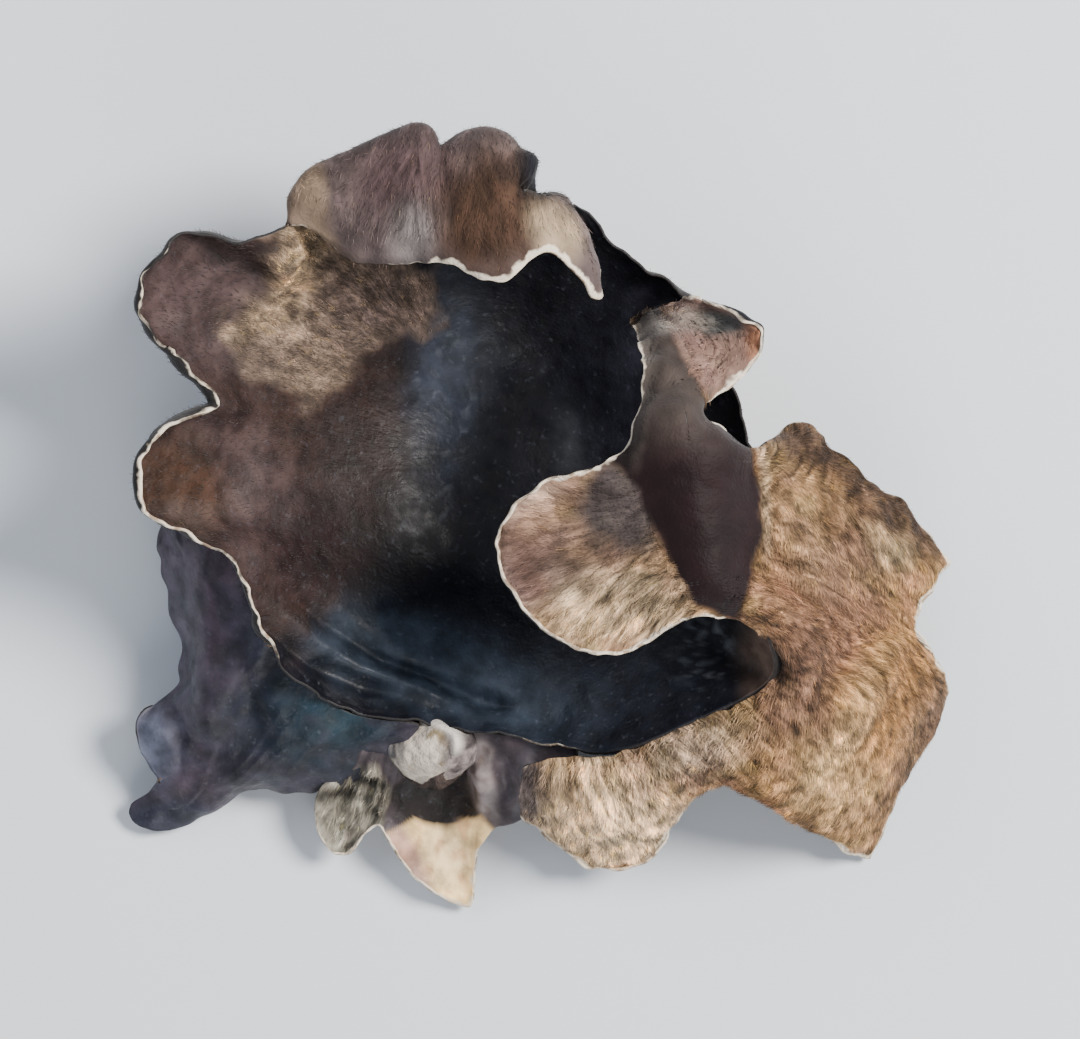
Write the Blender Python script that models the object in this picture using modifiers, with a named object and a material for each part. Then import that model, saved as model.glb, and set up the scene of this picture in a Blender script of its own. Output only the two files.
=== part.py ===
"""Dried wood ear mushroom: one leathery fruiting body, curled up as it dried, lying as picked.

The fungus is one thin sheet that grew from a small foothold on wood. Its smooth dark face lines a
deep cup, its felted tan face shows where lobes are turned over. Each lobe here is a coarse cage of
points placed by hand, smoothed by Subdivision Surface and given its thickness by Solidify, and the
lobes and the foothold are joined into one closed body.

Frame: metres, +Z up. The body lies on the plane z = 0, with the origin at the bottom centre of its
bounding box. The cages are in millimetres: X to the right, Y away from the foothold, Z up.
"""

import math

import bmesh
import bpy
import numpy as np
from mathutils import Matrix, Vector
from mathutils.bvhtree import BVHTree

MM = 0.001

# Driving dimensions, in millimetres.
SHEET_THICKNESS = 1.2
CUP_FLOOR_CENTRE = (-3.0, 5.0)
CUP_FLOOR_RADII = (7.5, 9.0)
CUP_FLOOR_HEIGHT = 1.15
FOOTHOLD_CENTRE = (-9.2, -21.0)
FOOTHOLD_RADII = (5.0, 4.0, 8.0)
FOOTHOLD_TOP = 11.8
FOOTHOLD_LUMPS = 0.12
SMOOTHING_LEVELS = 1
SHARP_EDGE_ANGLE = math.radians(50)

# The cup's lip, counter-clockwise from the side where the turned-over flap hides it.
CUP_LIP = [
    (20.2, 1.0, 22.6), (20.0, 5.8, 19.2), (18.4, 11.0, 16.6), (16.8, 16.0, 14.5),
    (14.5, 20.3, 13.5), (10.5, 22.8, 14.5), (7.0, 25.1, 15.5), (3.4, 27.9, 17.5),
    (5.9, 20.0, 20.5), (1.8, 23.2, 23.5), (-1.2, 22.1, 24.2), (-4.2, 21.2, 24.4),
    (-7.6, 22.8, 24.0), (-12.0, 22.8, 22.6), (-16.5, 23.4, 22.2), (-20.6, 26.2, 23.0),
    (-23.8, 25.5, 24.2), (-27.4, 25.1, 25.0), (-31.5, 25.4, 26.0), (-34.5, 22.5, 26.4),
    (-35.9, 19.6, 26.0), (-34.9, 17.0, 25.0), (-32.3, 13.6, 23.2), (-29.3, 10.4, 21.2),
    (-33.2, 8.9, 23.0), (-35.3, 6.3, 24.4), (-35.9, 2.8, 24.6), (-35.1, 0.4, 23.6),
    (-32.0, -1.4, 22.0), (-28.2, -3.2, 20.2), (-26.2, -6.6, 18.6), (-24.7, -10.4, 16.6),
    (-22.3, -14.4, 14.0), (-17.5, -17.2, 11.6), (-11.0, -18.8, 10.6), (-4.5, -19.6, 11.0),
    (2.2, -20.8, 12.6), (8.2, -21.2, 15.4), (14.6, -17.8, 18.0), (20.6, -14.0, 20.0),
    (20.0, -8.6, 22.6), (20.4, -3.8, 23.0),
]

# Stations whose lip is hidden under the flap and grows into it.
CUP_LIP_UNDER_FLAP = (37, 38, 39, 40, 41, 0)

# Where the cup's lip is rolled in over the cup, the wall first rises to this crest.
CUP_CREST = {
    7: (2.6, 28.0, 17.0), 8: (2.4, 28.6, 20.0), 9: (-0.6, 30.6, 21.0), 10: (-2.2, 33.2, 21.6),
    11: (-5.4, 34.2, 22.0), 12: (-8.6, 32.9, 22.2), 13: (-10.2, 34.9, 23.2),
    14: (-15.2, 32.6, 22.6), 15: (-20.4, 29.8, 22.8),
}
CUP_WALL_STEPS = (0.0, 0.3, 0.6, 0.84)
CUP_WALL_EASINGS = (40, 20, 6, 0)
CUP_WALL_RISE = 1.35

# The turned-over flap: its edge towards the cup, from the small ear to the foothold's side.
FLAP_INNER = [
    (8.8, 18.0, 9.0), (9.1, 17.0, 15.4), (9.6, 15.4, 20.8), (9.7, 13.6, 23.8), (9.6, 12.2, 24.6),
    (9.5, 11.0, 25.2), (9.3, 9.6, 25.6), (9.0, 8.0, 25.8), (7.6, 5.6, 25.8), (4.2, 4.4, 25.4),
    (1.0, 4.0, 25.2), (-2.2, 1.8, 25.2), (-3.9, -2.0, 25.2), (-3.0, -6.3, 25.0),
    (0.0, -10.2, 25.2), (4.2, -12.5, 25.6), (8.2, -12.4, 26.0), (11.2, -10.4, 26.2),
    (15.2, -8.7, 26.2), (19.2, -9.6, 24.4), (22.0, -12.6, 21.8), (20.6, -15.4, 20.4),
    (18.0, -17.0, 19.6), (14.9, -18.1, 18.8), (12.8, -18.9, 18.2), (11.0, -19.6, 17.6),
    (9.2, -20.6, 16.8), (7.5, -21.4, 16.0), (5.5, -21.8, 15.2), (3.4, -21.6, 14.0),
    (1.2, -22.0, 13.0), (-1.2, -22.6, 12.0),
]
# The flap's outer margin, at the same stations.
FLAP_OUTER = [
    (11.7, 18.6, 11.5), (14.0, 19.8, 17.6), (17.0, 19.9, 21.6), (20.1, 18.6, 22.6),
    (21.4, 16.4, 22.4), (19.6, 13.0, 22.0), (15.1, 10.3, 23.4), (15.8, 8.3, 23.6),
    (19.5, 5.9, 21.6), (22.0, 7.6, 18.0), (25.0, 7.9, 15.4), (28.1, 5.0, 13.8),
    (31.0, 2.8, 12.4), (34.2, 0.8, 9.8), (37.9, -4.0, 6.4), (35.9, -6.8, 8.2),
    (34.8, -9.1, 10.4), (35.6, -11.2, 9.0), (37.0, -13.6, 6.4), (37.9, -17.2, 3.6),
    (36.4, -20.6, 3.2), (34.0, -24.2, 3.0), (31.0, -31.1, 0.4), (27.0, -28.7, 4.8),
    (22.9, -25.3, 9.2), (18.0, -23.7, 11.8), (14.0, -24.8, 10.4), (12.1, -28.2, 7.0),
    (10.0, -31.1, 4.2), (6.2, -32.2, 3.2), (2.6, -30.4, 4.6), (-1.2, -27.5, 6.4),
]
# Between the two edges: the round lobe's dish, the smooth ridge beside it, the valley, the slope.
FLAP_INSIDE = {
    2: [(10.8, 15.8, 21.6), (12.0, 16.4, 21.4), (13.3, 17.1, 21.0), (14.5, 17.9, 20.8),
        (15.8, 18.9, 21.0)],
    3: [(11.2, 13.8, 24.0), (13.0, 14.8, 23.0), (14.8, 15.8, 21.4), (16.6, 16.8, 20.4),
        (18.5, 17.8, 20.8)],
    4: [(11.6, 13.0, 24.6), (13.8, 13.9, 23.2), (16.0, 14.8, 21.4), (18.2, 15.6, 20.6),
        (20.2, 16.2, 21.0)],
    5: [(11.0, 11.3, 25.6), (12.8, 11.7, 25.0), (14.6, 12.1, 23.8), (16.4, 12.5, 22.2),
        (18.2, 12.8, 21.4)],
    6: [(10.3, 9.7, 26.6), (11.3, 9.9, 27.2), (12.4, 10.0, 27.3), (13.4, 10.1, 26.6),
        (14.3, 10.2, 25.2)],
    8: [(8.8, 5.8, 26.6), (10.4, 5.8, 27.6), (14.0, 5.8, 28.4), (17.2, 5.8, 26.6),
        (18.5, 5.8, 24.4)],
    9: [(6.8, 3.8, 25.6), (10.0, 4.3, 27.3), (14.4, 4.6, 28.7), (18.8, 5.0, 24.8),
        (20.6, 6.2, 22.4)],
    10: [(4.0, 2.2, 24.4), (9.4, 2.6, 26.8), (14.8, 3.0, 28.9), (19.4, 3.6, 22.8),
         (22.8, 5.4, 20.4)],
    12: [(3.0, -0.8, 23.2), (9.9, 0.8, 26.6), (15.6, 1.0, 29.0), (19.8, 1.2, 22.4),
         (25.5, 2.2, 21.6)],
    14: [(5.4, -6.0, 23.2), (11.3, -2.2, 26.6), (16.0, -2.0, 28.8), (20.0, -2.0, 22.4),
         (27.5, -3.0, 21.2)],
    16: [(10.4, -8.6, 24.8), (13.2, -5.6, 26.8), (16.4, -5.2, 28.0), (19.5, -5.2, 23.2),
         (27.2, -7.4, 20.8)],
    18: [(16.6, -7.2, 26.8), (17.8, -6.6, 26.8), (19.2, -6.4, 25.6), (21.4, -7.0, 23.8),
         (28.2, -9.8, 19.0)],
    19: [(20.6, -8.6, 24.6), (22.2, -8.6, 24.2), (24.4, -9.6, 22.8), (27.4, -11.4, 20.0),
         (32.2, -14.2, 13.4)],
    20: [(23.8, -13.4, 22.4), (25.6, -14.4, 21.6), (27.8, -15.6, 19.4), (30.2, -17.0, 15.6),
         (33.3, -18.8, 9.6)],
    22: [(19.8, -18.9, 20.4), (21.8, -21.0, 19.4), (24.0, -23.4, 16.8), (26.4, -26.0, 12.6),
         (28.8, -28.6, 7.4)],
    25: [(11.9, -20.2, 18.3), (13.0, -20.9, 18.4), (14.2, -21.6, 17.8), (15.5, -22.4, 16.4),
         (16.8, -23.1, 14.2)],
    28: [(6.1, -23.2, 16.0), (6.8, -24.9, 15.6), (7.6, -26.7, 13.6), (8.5, -28.5, 10.4),
         (9.3, -29.9, 7.2)],
}

# The dark apron below the cup: its far edge, a middle row, and the row that meets the cup's wall.
APRON_OUTER = [
    (-33.6, 1.5, 10.0), (-34.6, -2.4, 6.6), (-33.9, -8.4, 4.2), (-32.7, -15.0, 3.4),
    (-36.2, -18.0, 5.2), (-36.5, -21.6, 4.6), (-34.3, -24.4, 3.6), (-37.7, -27.3, 1.6),
    (-33.8, -29.1, 1.6), (-29.4, -27.5, 2.2), (-26.3, -25.7, 3.2), (-22.0, -25.8, 3.6),
    (-17.4, -24.3, 5.0), (-13.4, -22.4, 7.0),
]
APRON_MIDDLE = [
    (-31.8, 0.8, 11.6), (-31.2, -3.2, 11.0), (-30.0, -8.2, 11.8), (-28.6, -13.2, 11.6),
    (-29.0, -16.6, 11.2), (-28.6, -19.0, 9.8), (-27.8, -20.8, 8.4), (-27.2, -23.2, 7.2),
    (-25.8, -23.0, 7.6), (-24.2, -22.2, 8.2), (-22.2, -21.6, 8.8), (-19.2, -21.2, 9.0),
    (-15.8, -20.9, 9.2), (-12.2, -20.6, 9.4),
]
APRON_ROOT = [
    (-29.5, 2.6, 14.0), (-28.0, -1.0, 13.6), (-26.2, -4.0, 13.2), (-24.8, -6.6, 12.8),
    (-23.8, -9.0, 12.4), (-22.8, -11.2, 12.2), (-22.0, -13.0, 12.2), (-20.8, -14.6, 12.0),
    (-19.4, -15.8, 11.8), (-17.8, -16.8, 11.6), (-16.0, -17.6, 11.2), (-14.0, -18.2, 11.0),
    (-12.0, -18.6, 10.8), (-10.0, -18.9, 10.6),
]

# The frill under the foothold: a pale tongue, a crumpled bit beside it, and a trough behind them.
FRILL_OUTER = [
    (-20.2, -24.8, 5.0), (-20.0, -29.0, 3.4), (-17.2, -31.2, 2.8), (-14.6, -28.3, 4.6),
    (-12.6, -31.6, 3.6), (-9.2, -34.8, 2.2), (-6.0, -36.0, 1.6), (-5.3, -31.2, 3.4),
    (-3.0, -28.5, 4.8), (1.6, -27.0, 7.4),
]
FRILL_SHOULDER = [
    (-17.2, -21.0, 8.6), (-15.8, -21.6, 8.2), (-14.2, -22.0, 7.6), (-12.4, -22.4, 6.8),
    (-10.8, -22.6, 6.2), (-9.2, -22.8, 6.0), (-7.6, -22.6, 6.6), (-5.4, -22.0, 8.2),
    (-2.4, -22.0, 9.8), (3.8, -22.4, 12.0),
]
FRILL_TROUGH = [
    (-18.2, -23.6, 6.4), (-17.8, -25.6, 5.2), (-15.6, -26.2, 4.6), (-13.4, -26.0, 4.2),
    (-11.6, -26.6, 3.2), (-9.4, -27.2, 3.0), (-7.2, -27.0, 3.2), (-5.4, -26.4, 4.4),
    (-2.6, -25.2, 7.0), (3.6, -23.8, 10.4),
]
FRILL_ROOT = [
    (-17.2, -17.6, 9.6), (-15.2, -18.2, 9.2), (-13.2, -18.6, 9.0), (-11.4, -18.9, 8.8),
    (-9.8, -19.1, 8.8), (-8.2, -19.2, 8.8), (-6.6, -19.4, 9.0), (-4.4, -19.8, 9.6),
    (-0.6, -20.4, 10.8), (4.4, -21.0, 12.8),
]

# Stations of the outer edges that stay pointed when the cages are smoothed.
POINT_SHARPNESS = 0.7
CUP_POINTS = (12, 13, 23)
FLAP_POINTS = (14, 22)
APRON_POINTS = (6, 7)
FRILL_POINTS = (6,)


def clear_scene():
    for item in list(bpy.data.objects):
        bpy.data.objects.remove(item, do_unlink=True)


def principled(name, colour, roughness):
    material = bpy.data.materials.new(name)
    material.use_nodes = True
    shader = material.node_tree.nodes["Principled BSDF"]
    shader.inputs["Base Color"].default_value = (*colour, 1.0)
    shader.inputs["Roughness"].default_value = roughness
    shader.inputs["Metallic"].default_value = 0.0
    return material


def pushed_out(points, closed, pointed=()):
    """Cage points whose smoothed curve passes through the given ones."""
    points = np.asarray(points, float)
    count = len(points)
    weights = np.zeros((count, count))
    for row in range(count):
        pull = 1.0 - POINT_SHARPNESS if row in pointed else 1.0
        weights[row, row] += 1.0 - pull / 3.0
        weights[row, (row + 1) % count] += pull / 6.0
        weights[row, row - 1] += pull / 6.0
    if not closed:
        weights[0] = np.eye(count)[0]
        weights[-1] = np.eye(count)[-1]
    return np.linalg.solve(weights, points)


def open_cage(rows, pointed):
    """An open sheet's cage: its edges are pushed out, and the rows between them are left."""
    inside = [np.asarray(row, float) for row in rows[1:-1]]
    outer = pushed_out(rows[-1], False, pointed)
    return np.array([pushed_out(rows[0], False), *inside, outer])


def closed_cage(rows, pointed):
    """The cup's cage, pushed out along each row and then from row to row."""
    along = [pushed_out(row, True) for row in rows[:-1]]
    along = np.array([*along, pushed_out(rows[-1], True, pointed)])
    across = [pushed_out(along[:, station], False) for station in range(along.shape[1])]
    return np.array(across).transpose(1, 0, 2)


def between_stations(given, count):
    """Rows given at a few stations only, filled in smoothly at every station."""
    known = sorted(given)
    values = np.array([given[station] for station in known], float)
    flat = values.reshape(len(known), -1)
    slopes = np.gradient(flat, known, axis=0)
    filled = []
    for station in range(count):
        after = int(np.clip(np.searchsorted(known, station), 1, len(known) - 1))
        start, end = known[after - 1], known[after]
        span = end - start
        t = (station - start) / span
        filled.append(
            (2 * t**3 - 3 * t**2 + 1) * flat[after - 1]
            + (t**3 - 2 * t**2 + t) * span * slopes[after - 1]
            + (3 * t**2 - 2 * t**3) * flat[after]
            + (t**3 - t**2) * span * slopes[after]
        )
    return np.array(filled).reshape(count, *values.shape[1:])


def sheet_mesh(name, cage, closed, pointed):
    """Quads between the rows of a cage; a closed sheet's first row is also filled in."""
    row_count, station_count = cage.shape[:2]
    corners = [tuple(point * MM) for row in cage for point in row]
    faces = []
    for row in range(row_count - 1):
        for station in range(station_count if closed else station_count - 1):
            following = (station + 1) % station_count
            faces.append((
                row * station_count + station,
                (row + 1) * station_count + station,
                (row + 1) * station_count + following,
                row * station_count + following,
            ))
    if closed:
        faces.append(tuple(range(station_count)))
    mesh = bpy.data.meshes.new(name)
    mesh.from_pydata(corners, [], faces)
    creases = mesh.attributes.new("crease_vert", "FLOAT", "POINT")
    for station in pointed:
        creases.data[(row_count - 1) * station_count + station].value = POINT_SHARPNESS
    return mesh


def smooth(obj):
    modifier = obj.modifiers.new("Smooth", "SUBSURF")
    modifier.levels = SMOOTHING_LEVELS
    modifier.render_levels = SMOOTHING_LEVELS
    modifier.boundary_smooth = "ALL"


def thicken(obj):
    modifier = obj.modifiers.new("Thickness", "SOLIDIFY")
    modifier.thickness = SHEET_THICKNESS * MM
    modifier.offset = -1.0
    modifier.use_even_offset = False


def make_lobe(name, rows, closed, pointed, collection):
    cage = closed_cage(rows, pointed) if closed else open_cage(rows, pointed)
    mesh = sheet_mesh(name, cage, closed, pointed)
    obj = bpy.data.objects.new(name, mesh)
    collection.objects.link(obj)
    smooth(obj)
    return obj


def evaluated_mesh(obj):
    bpy.context.view_layer.update()
    graph = bpy.context.evaluated_depsgraph_get()
    return bpy.data.meshes.new_from_object(obj.evaluated_get(graph))


def surface_of(obj):
    mesh = evaluated_mesh(obj)
    tree = BVHTree.FromPolygons(
        [vertex.co.copy() for vertex in mesh.vertices],
        [tuple(polygon.vertices) for polygon in mesh.polygons],
    )
    bpy.data.meshes.remove(mesh)
    return tree


def drawn_onto(points, surface, sunk):
    """Each point moved to the nearest place on a surface, and sunk into its thickness."""
    moved = []
    for point in points:
        place, normal, _, _ = surface.find_nearest(Vector(point) * MM)
        moved.append(tuple((place - normal * sunk * MM) / MM))
    return moved


def flap_rows():
    count = len(FLAP_INNER)
    given = dict(FLAP_INSIDE)
    for station in (0, 1, count - 1):
        inner, outer = np.array(FLAP_INNER[station]), np.array(FLAP_OUTER[station])
        given[station] = [inner + (outer - inner) * step / 6 for step in range(1, 6)]
    inside = between_stations(given, count)
    return [FLAP_INNER, *[list(inside[:, row]) for row in range(5)], FLAP_OUTER]


def eased(points, times):
    """A closed row of points, each moved towards its neighbours a number of times."""
    for _ in range(times):
        points = points / 2 + (np.roll(points, 1, axis=0) + np.roll(points, -1, axis=0)) / 4
    return points


def cup_rows(lip):
    """Rows from the floor's oval up to the lip; the lip's folds fade towards the floor."""
    crest = np.array([CUP_CREST.get(station, point) for station, point in enumerate(lip)])
    folded = np.array([station in CUP_CREST for station in range(len(lip))])
    towards = eased(crest, CUP_WALL_EASINGS[0])[:, :2] - CUP_FLOOR_CENTRE
    towards /= np.linalg.norm(towards, axis=1, keepdims=True)
    floor = np.column_stack([
        CUP_FLOOR_CENTRE + towards * CUP_FLOOR_RADII, np.full(len(lip), CUP_FLOOR_HEIGHT)
    ])
    rows = []
    for step, easings in zip(CUP_WALL_STEPS, CUP_WALL_EASINGS):
        top = eased(crest, easings)
        reach = np.where(folded, step / CUP_WALL_STEPS[-1], step)
        row = floor + (top - floor) * reach[:, None]
        row[:, 2] = floor[:, 2] + (top - floor)[:, 2] * reach**CUP_WALL_RISE
        rows.append(row)
    return [*rows, lip]


def make_foothold(collection):
    """The pale knot that held the fungus to the wood, cut off flat where it rests."""
    knot = bmesh.new()
    bmesh.ops.create_uvsphere(knot, u_segments=14, v_segments=10, radius=MM)
    for vertex in knot.verts:
        around = math.atan2(vertex.co.y, vertex.co.x)
        lump = math.sin(3 * around + 0.6) + 0.6 * math.sin(5 * around + 4000 * vertex.co.z)
        vertex.co.xy *= 1 + FOOTHOLD_LUMPS * lump
    bmesh.ops.scale(knot, vec=FOOTHOLD_RADII, verts=knot.verts)
    middle = Vector((*FOOTHOLD_CENTRE, FOOTHOLD_TOP - FOOTHOLD_RADII[2])) * MM
    bmesh.ops.translate(knot, vec=middle, verts=knot.verts)
    cut = bmesh.ops.bisect_plane(
        knot, geom=[*knot.verts, *knot.edges, *knot.faces],
        plane_co=(0.0, 0.0, 0.0), plane_no=(0.0, 0.0, 1.0), clear_inner=True,
    )
    rim = [item for item in cut["geom_cut"] if isinstance(item, bmesh.types.BMEdge)]
    bmesh.ops.edgeloop_fill(knot, edges=rim)
    bmesh.ops.recalc_face_normals(knot, faces=knot.faces)
    mesh = bpy.data.meshes.new("foothold")
    knot.to_mesh(mesh)
    knot.free()
    obj = bpy.data.objects.new("foothold", mesh)
    collection.objects.link(obj)
    return obj


def make_cup(flap, collection):
    """The cup, whose hidden lip stations meet the underside of the flap."""
    flap_surface = surface_of(flap)
    lip = list(CUP_LIP)
    hidden = [CUP_LIP[station] for station in CUP_LIP_UNDER_FLAP]
    for station, point in zip(
        CUP_LIP_UNDER_FLAP, drawn_onto(hidden, flap_surface, SHEET_THICKNESS / 2)
    ):
        lip[station] = point
    return make_lobe("cup", cup_rows(lip), True, CUP_POINTS, collection)


def make_apron(cup, collection):
    """The dark apron, with rows halfway between the ones placed by hand."""
    root = np.array(drawn_onto(APRON_ROOT, surface_of(cup), SHEET_THICKNESS / 2))
    middle, outer = np.array(APRON_MIDDLE), np.array(APRON_OUTER)
    rows = [root, (root + middle) / 2, middle, (middle + outer) / 2, outer]
    return make_lobe("apron", rows, False, APRON_POINTS, collection)


def make_frill(cup, collection):
    root = drawn_onto(FRILL_ROOT, surface_of(cup), SHEET_THICKNESS / 2)
    rows = [root, FRILL_SHOULDER, FRILL_TROUGH, FRILL_OUTER]
    return make_lobe("frill", rows, False, FRILL_POINTS, collection)


def centre_on_origin(mesh):
    """Puts the middle of the body's length and width over the origin; heights stay."""
    places = np.array([vertex.co for vertex in mesh.vertices])
    middle = (places.min(axis=0) + places.max(axis=0)) / 2
    mesh.transform(Matrix.Translation((-middle[0], -middle[1], 0.0)))


def join_lobes(name, cup, others, collection):
    """One closed body: the cup with every lobe of the other collection grown onto it."""
    body = bpy.data.objects.new(name, evaluated_mesh(cup))
    collection.objects.link(body)
    union = body.modifiers.new("Grown together", "BOOLEAN")
    union.operation = "UNION"
    union.solver = "EXACT"
    union.operand_type = "COLLECTION"
    union.collection = others
    joined = evaluated_mesh(body)
    body.modifiers.clear()
    body.data = joined
    centre_on_origin(joined)
    joined.shade_smooth()
    joined.set_sharp_from_angle(angle=SHARP_EDGE_ANGLE)
    return body


def build():
    clear_scene()
    shown = bpy.data.collections.new("wood_ear_mushroom")
    grown_on = bpy.data.collections.new("lobes_grown_on")
    base = bpy.data.collections.new("cup_before_joining")
    for collection in (shown, grown_on, base):
        bpy.context.scene.collection.children.link(collection)
    flap = make_lobe("flap", flap_rows(), False, FLAP_POINTS, grown_on)
    cup = make_cup(flap, base)
    apron = make_apron(cup, grown_on)
    frill = make_frill(cup, grown_on)
    for lobe in (cup, flap, apron, frill):
        thicken(lobe)
    foothold = make_foothold(grown_on)
    body = join_lobes("wood_ear", cup, grown_on, shown)
    body.data.materials.clear()
    body.data.materials.append(principled("leathery_sheet", (0.16, 0.11, 0.09), 0.6))
    for lobe in (cup, flap, apron, frill, foothold):
        lobe.hide_render = True
        lobe.display_type = "WIRE"


build()
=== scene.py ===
"""Looks of the dried wood ear mushroom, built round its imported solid.

The fungus is one thin sheet. Each lobe repeats the solid's own cage of points, subdivided finely,
then wrinkled, ruffled and thinned at its margin. All places are millimetres in the cages' own
frame, which CAGE_TO_FRAME moves onto the solid. In every lobe the cage is the smooth dark face, and
the felted face is on its far side.
"""

import math

import bmesh
import bpy
import numpy as np
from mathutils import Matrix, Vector, noise
from mathutils.bvhtree import BVHTree
from mathutils.kdtree import KDTree


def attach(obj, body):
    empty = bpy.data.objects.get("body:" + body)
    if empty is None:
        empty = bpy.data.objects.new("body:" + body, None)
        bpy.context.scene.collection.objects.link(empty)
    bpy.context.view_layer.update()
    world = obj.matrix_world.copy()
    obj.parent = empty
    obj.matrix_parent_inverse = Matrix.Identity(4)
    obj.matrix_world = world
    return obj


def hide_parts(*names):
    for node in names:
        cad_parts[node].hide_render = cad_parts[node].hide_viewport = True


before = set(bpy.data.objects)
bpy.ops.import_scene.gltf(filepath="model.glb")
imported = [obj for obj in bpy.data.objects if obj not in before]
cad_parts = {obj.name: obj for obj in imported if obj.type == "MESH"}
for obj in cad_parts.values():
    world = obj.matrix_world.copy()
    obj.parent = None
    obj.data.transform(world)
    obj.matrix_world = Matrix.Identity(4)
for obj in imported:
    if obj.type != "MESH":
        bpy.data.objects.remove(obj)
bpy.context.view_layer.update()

# ---------------------------------------------------------------------------------------------
# The turned-over flap: a lobe that folded back over the cup, so that its felted outer face looks
# up. A round lobe, a smooth bare ridge and a small ear stand at its inner edge; its outer margin
# hangs to the table.
# ---------------------------------------------------------------------------------------------

MM = 0.001
CAGE_TO_FRAME = Vector((-0.55, 0.10, 0.0))
DENSE_LEVELS = 4
POINT_SHARPNESS = 0.7
FLAP_POINTS = (14, 22)

# The edge towards the cup, from the small ear to the foothold's side.
FLAP_INNER = [
    (8.8, 18.0, 9.0), (9.1, 17.0, 15.4), (9.6, 15.4, 20.8), (9.7, 13.6, 23.8), (9.6, 12.2, 24.6),
    (9.5, 11.0, 25.2), (9.3, 9.6, 25.6), (9.0, 8.0, 25.8), (7.6, 5.6, 25.8), (4.2, 4.4, 25.4),
    (1.0, 4.0, 25.2), (-2.2, 1.8, 25.2), (-3.9, -2.0, 25.2), (-3.0, -6.3, 25.0),
    (0.0, -10.2, 25.2), (4.2, -12.5, 25.6), (8.2, -12.4, 26.0), (11.2, -10.4, 26.2),
    (15.2, -8.7, 26.2), (19.2, -9.6, 24.4), (22.0, -12.6, 21.8), (20.6, -15.4, 20.4),
    (18.0, -17.0, 19.6), (14.9, -18.1, 18.8), (12.8, -18.9, 18.2), (11.0, -19.6, 17.6),
    (9.2, -20.6, 16.8), (7.5, -21.4, 16.0), (5.5, -21.8, 15.2), (3.4, -21.6, 14.0),
    (1.2, -22.0, 13.0), (-1.2, -22.6, 12.0),
]
# The outer margin, at the same stations.
FLAP_OUTER = [
    (11.7, 18.6, 11.5), (14.0, 19.8, 17.6), (17.0, 19.9, 21.6), (20.1, 18.6, 22.6),
    (21.4, 16.4, 22.4), (19.6, 13.0, 22.0), (15.1, 10.3, 23.4), (15.8, 8.3, 23.6),
    (19.5, 5.9, 21.6), (22.0, 7.6, 18.0), (25.0, 7.9, 15.4), (28.1, 5.0, 13.8),
    (31.0, 2.8, 12.4), (34.2, 0.8, 9.8), (37.9, -4.0, 6.4), (35.9, -6.8, 8.2),
    (34.8, -9.1, 10.4), (35.6, -11.2, 9.0), (37.0, -13.6, 6.4), (37.9, -17.2, 3.6),
    (36.4, -20.6, 3.2), (34.0, -24.2, 3.0), (31.0, -31.1, 0.4), (27.0, -28.7, 4.8),
    (22.9, -25.3, 9.2), (18.0, -23.7, 11.8), (14.0, -24.8, 10.4), (12.1, -28.2, 7.0),
    (10.0, -31.1, 4.2), (6.2, -32.2, 3.2), (2.6, -30.4, 4.6), (-1.2, -27.5, 6.4),
]
# How pale each edge is, station by station, and how far it curls up towards the felted face.
FLAP_INNER_PALE = [
    0.4, 0.6, 0.7, 0.7, 0.6, 0.6, 0.6, 0.6, 0.6, 0.8, 1.0, 1.0, 1.0, 1.0, 1.0, 1.0, 1.0, 0.9, 0.7,
    0.3, 0.1, 0.0, 0.0, 0.0, 0.0, 0.0, 0.0, 0.0, 0.0, 0.0, 0.2, 0.4,
]
FLAP_INNER_CURL = [
    0.0, 0.0, 0.0, 0.0, 0.0, 0.0, 0.0, 0.0, 0.0, 0.2, 0.4, 0.5, 0.5, 0.5, 0.5, 0.4, 0.3, 0.2, 0.0,
    0.0, 0.0, 0.0, 0.0, 0.0, 0.0, 0.0, 0.0, 0.0, 0.0, 0.0, 0.0, 0.0,
]
FLAP_OUTER_PALE = [
    0.2, 0.6, 1.0, 1.0, 1.0, 1.0, 0.9, 0.9, 1.0, 0.6, 0.3, 0.2, 0.3, 0.4, 1.0, 1.0, 1.0, 0.9, 0.6,
    0.5, 0.5, 0.6, 1.0, 0.9, 0.8, 0.8, 1.0, 1.0, 1.0, 1.0, 1.0, 1.0,
]
FLAP_OUTER_CURL = [
    0.0, 0.3, 0.6, 0.6, 0.5, 0.4, 0.2, 0.0, 0.0, 0.0, 0.2, 0.4, 0.3, 0.2, 0.4, 0.6, 0.6, 0.4, 0.2,
    0.2, 0.3, 0.3, 0.4, 0.3, 0.1, 0.1, 0.4, 0.6, 0.7, 0.7, 0.6, 0.3,
]
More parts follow.
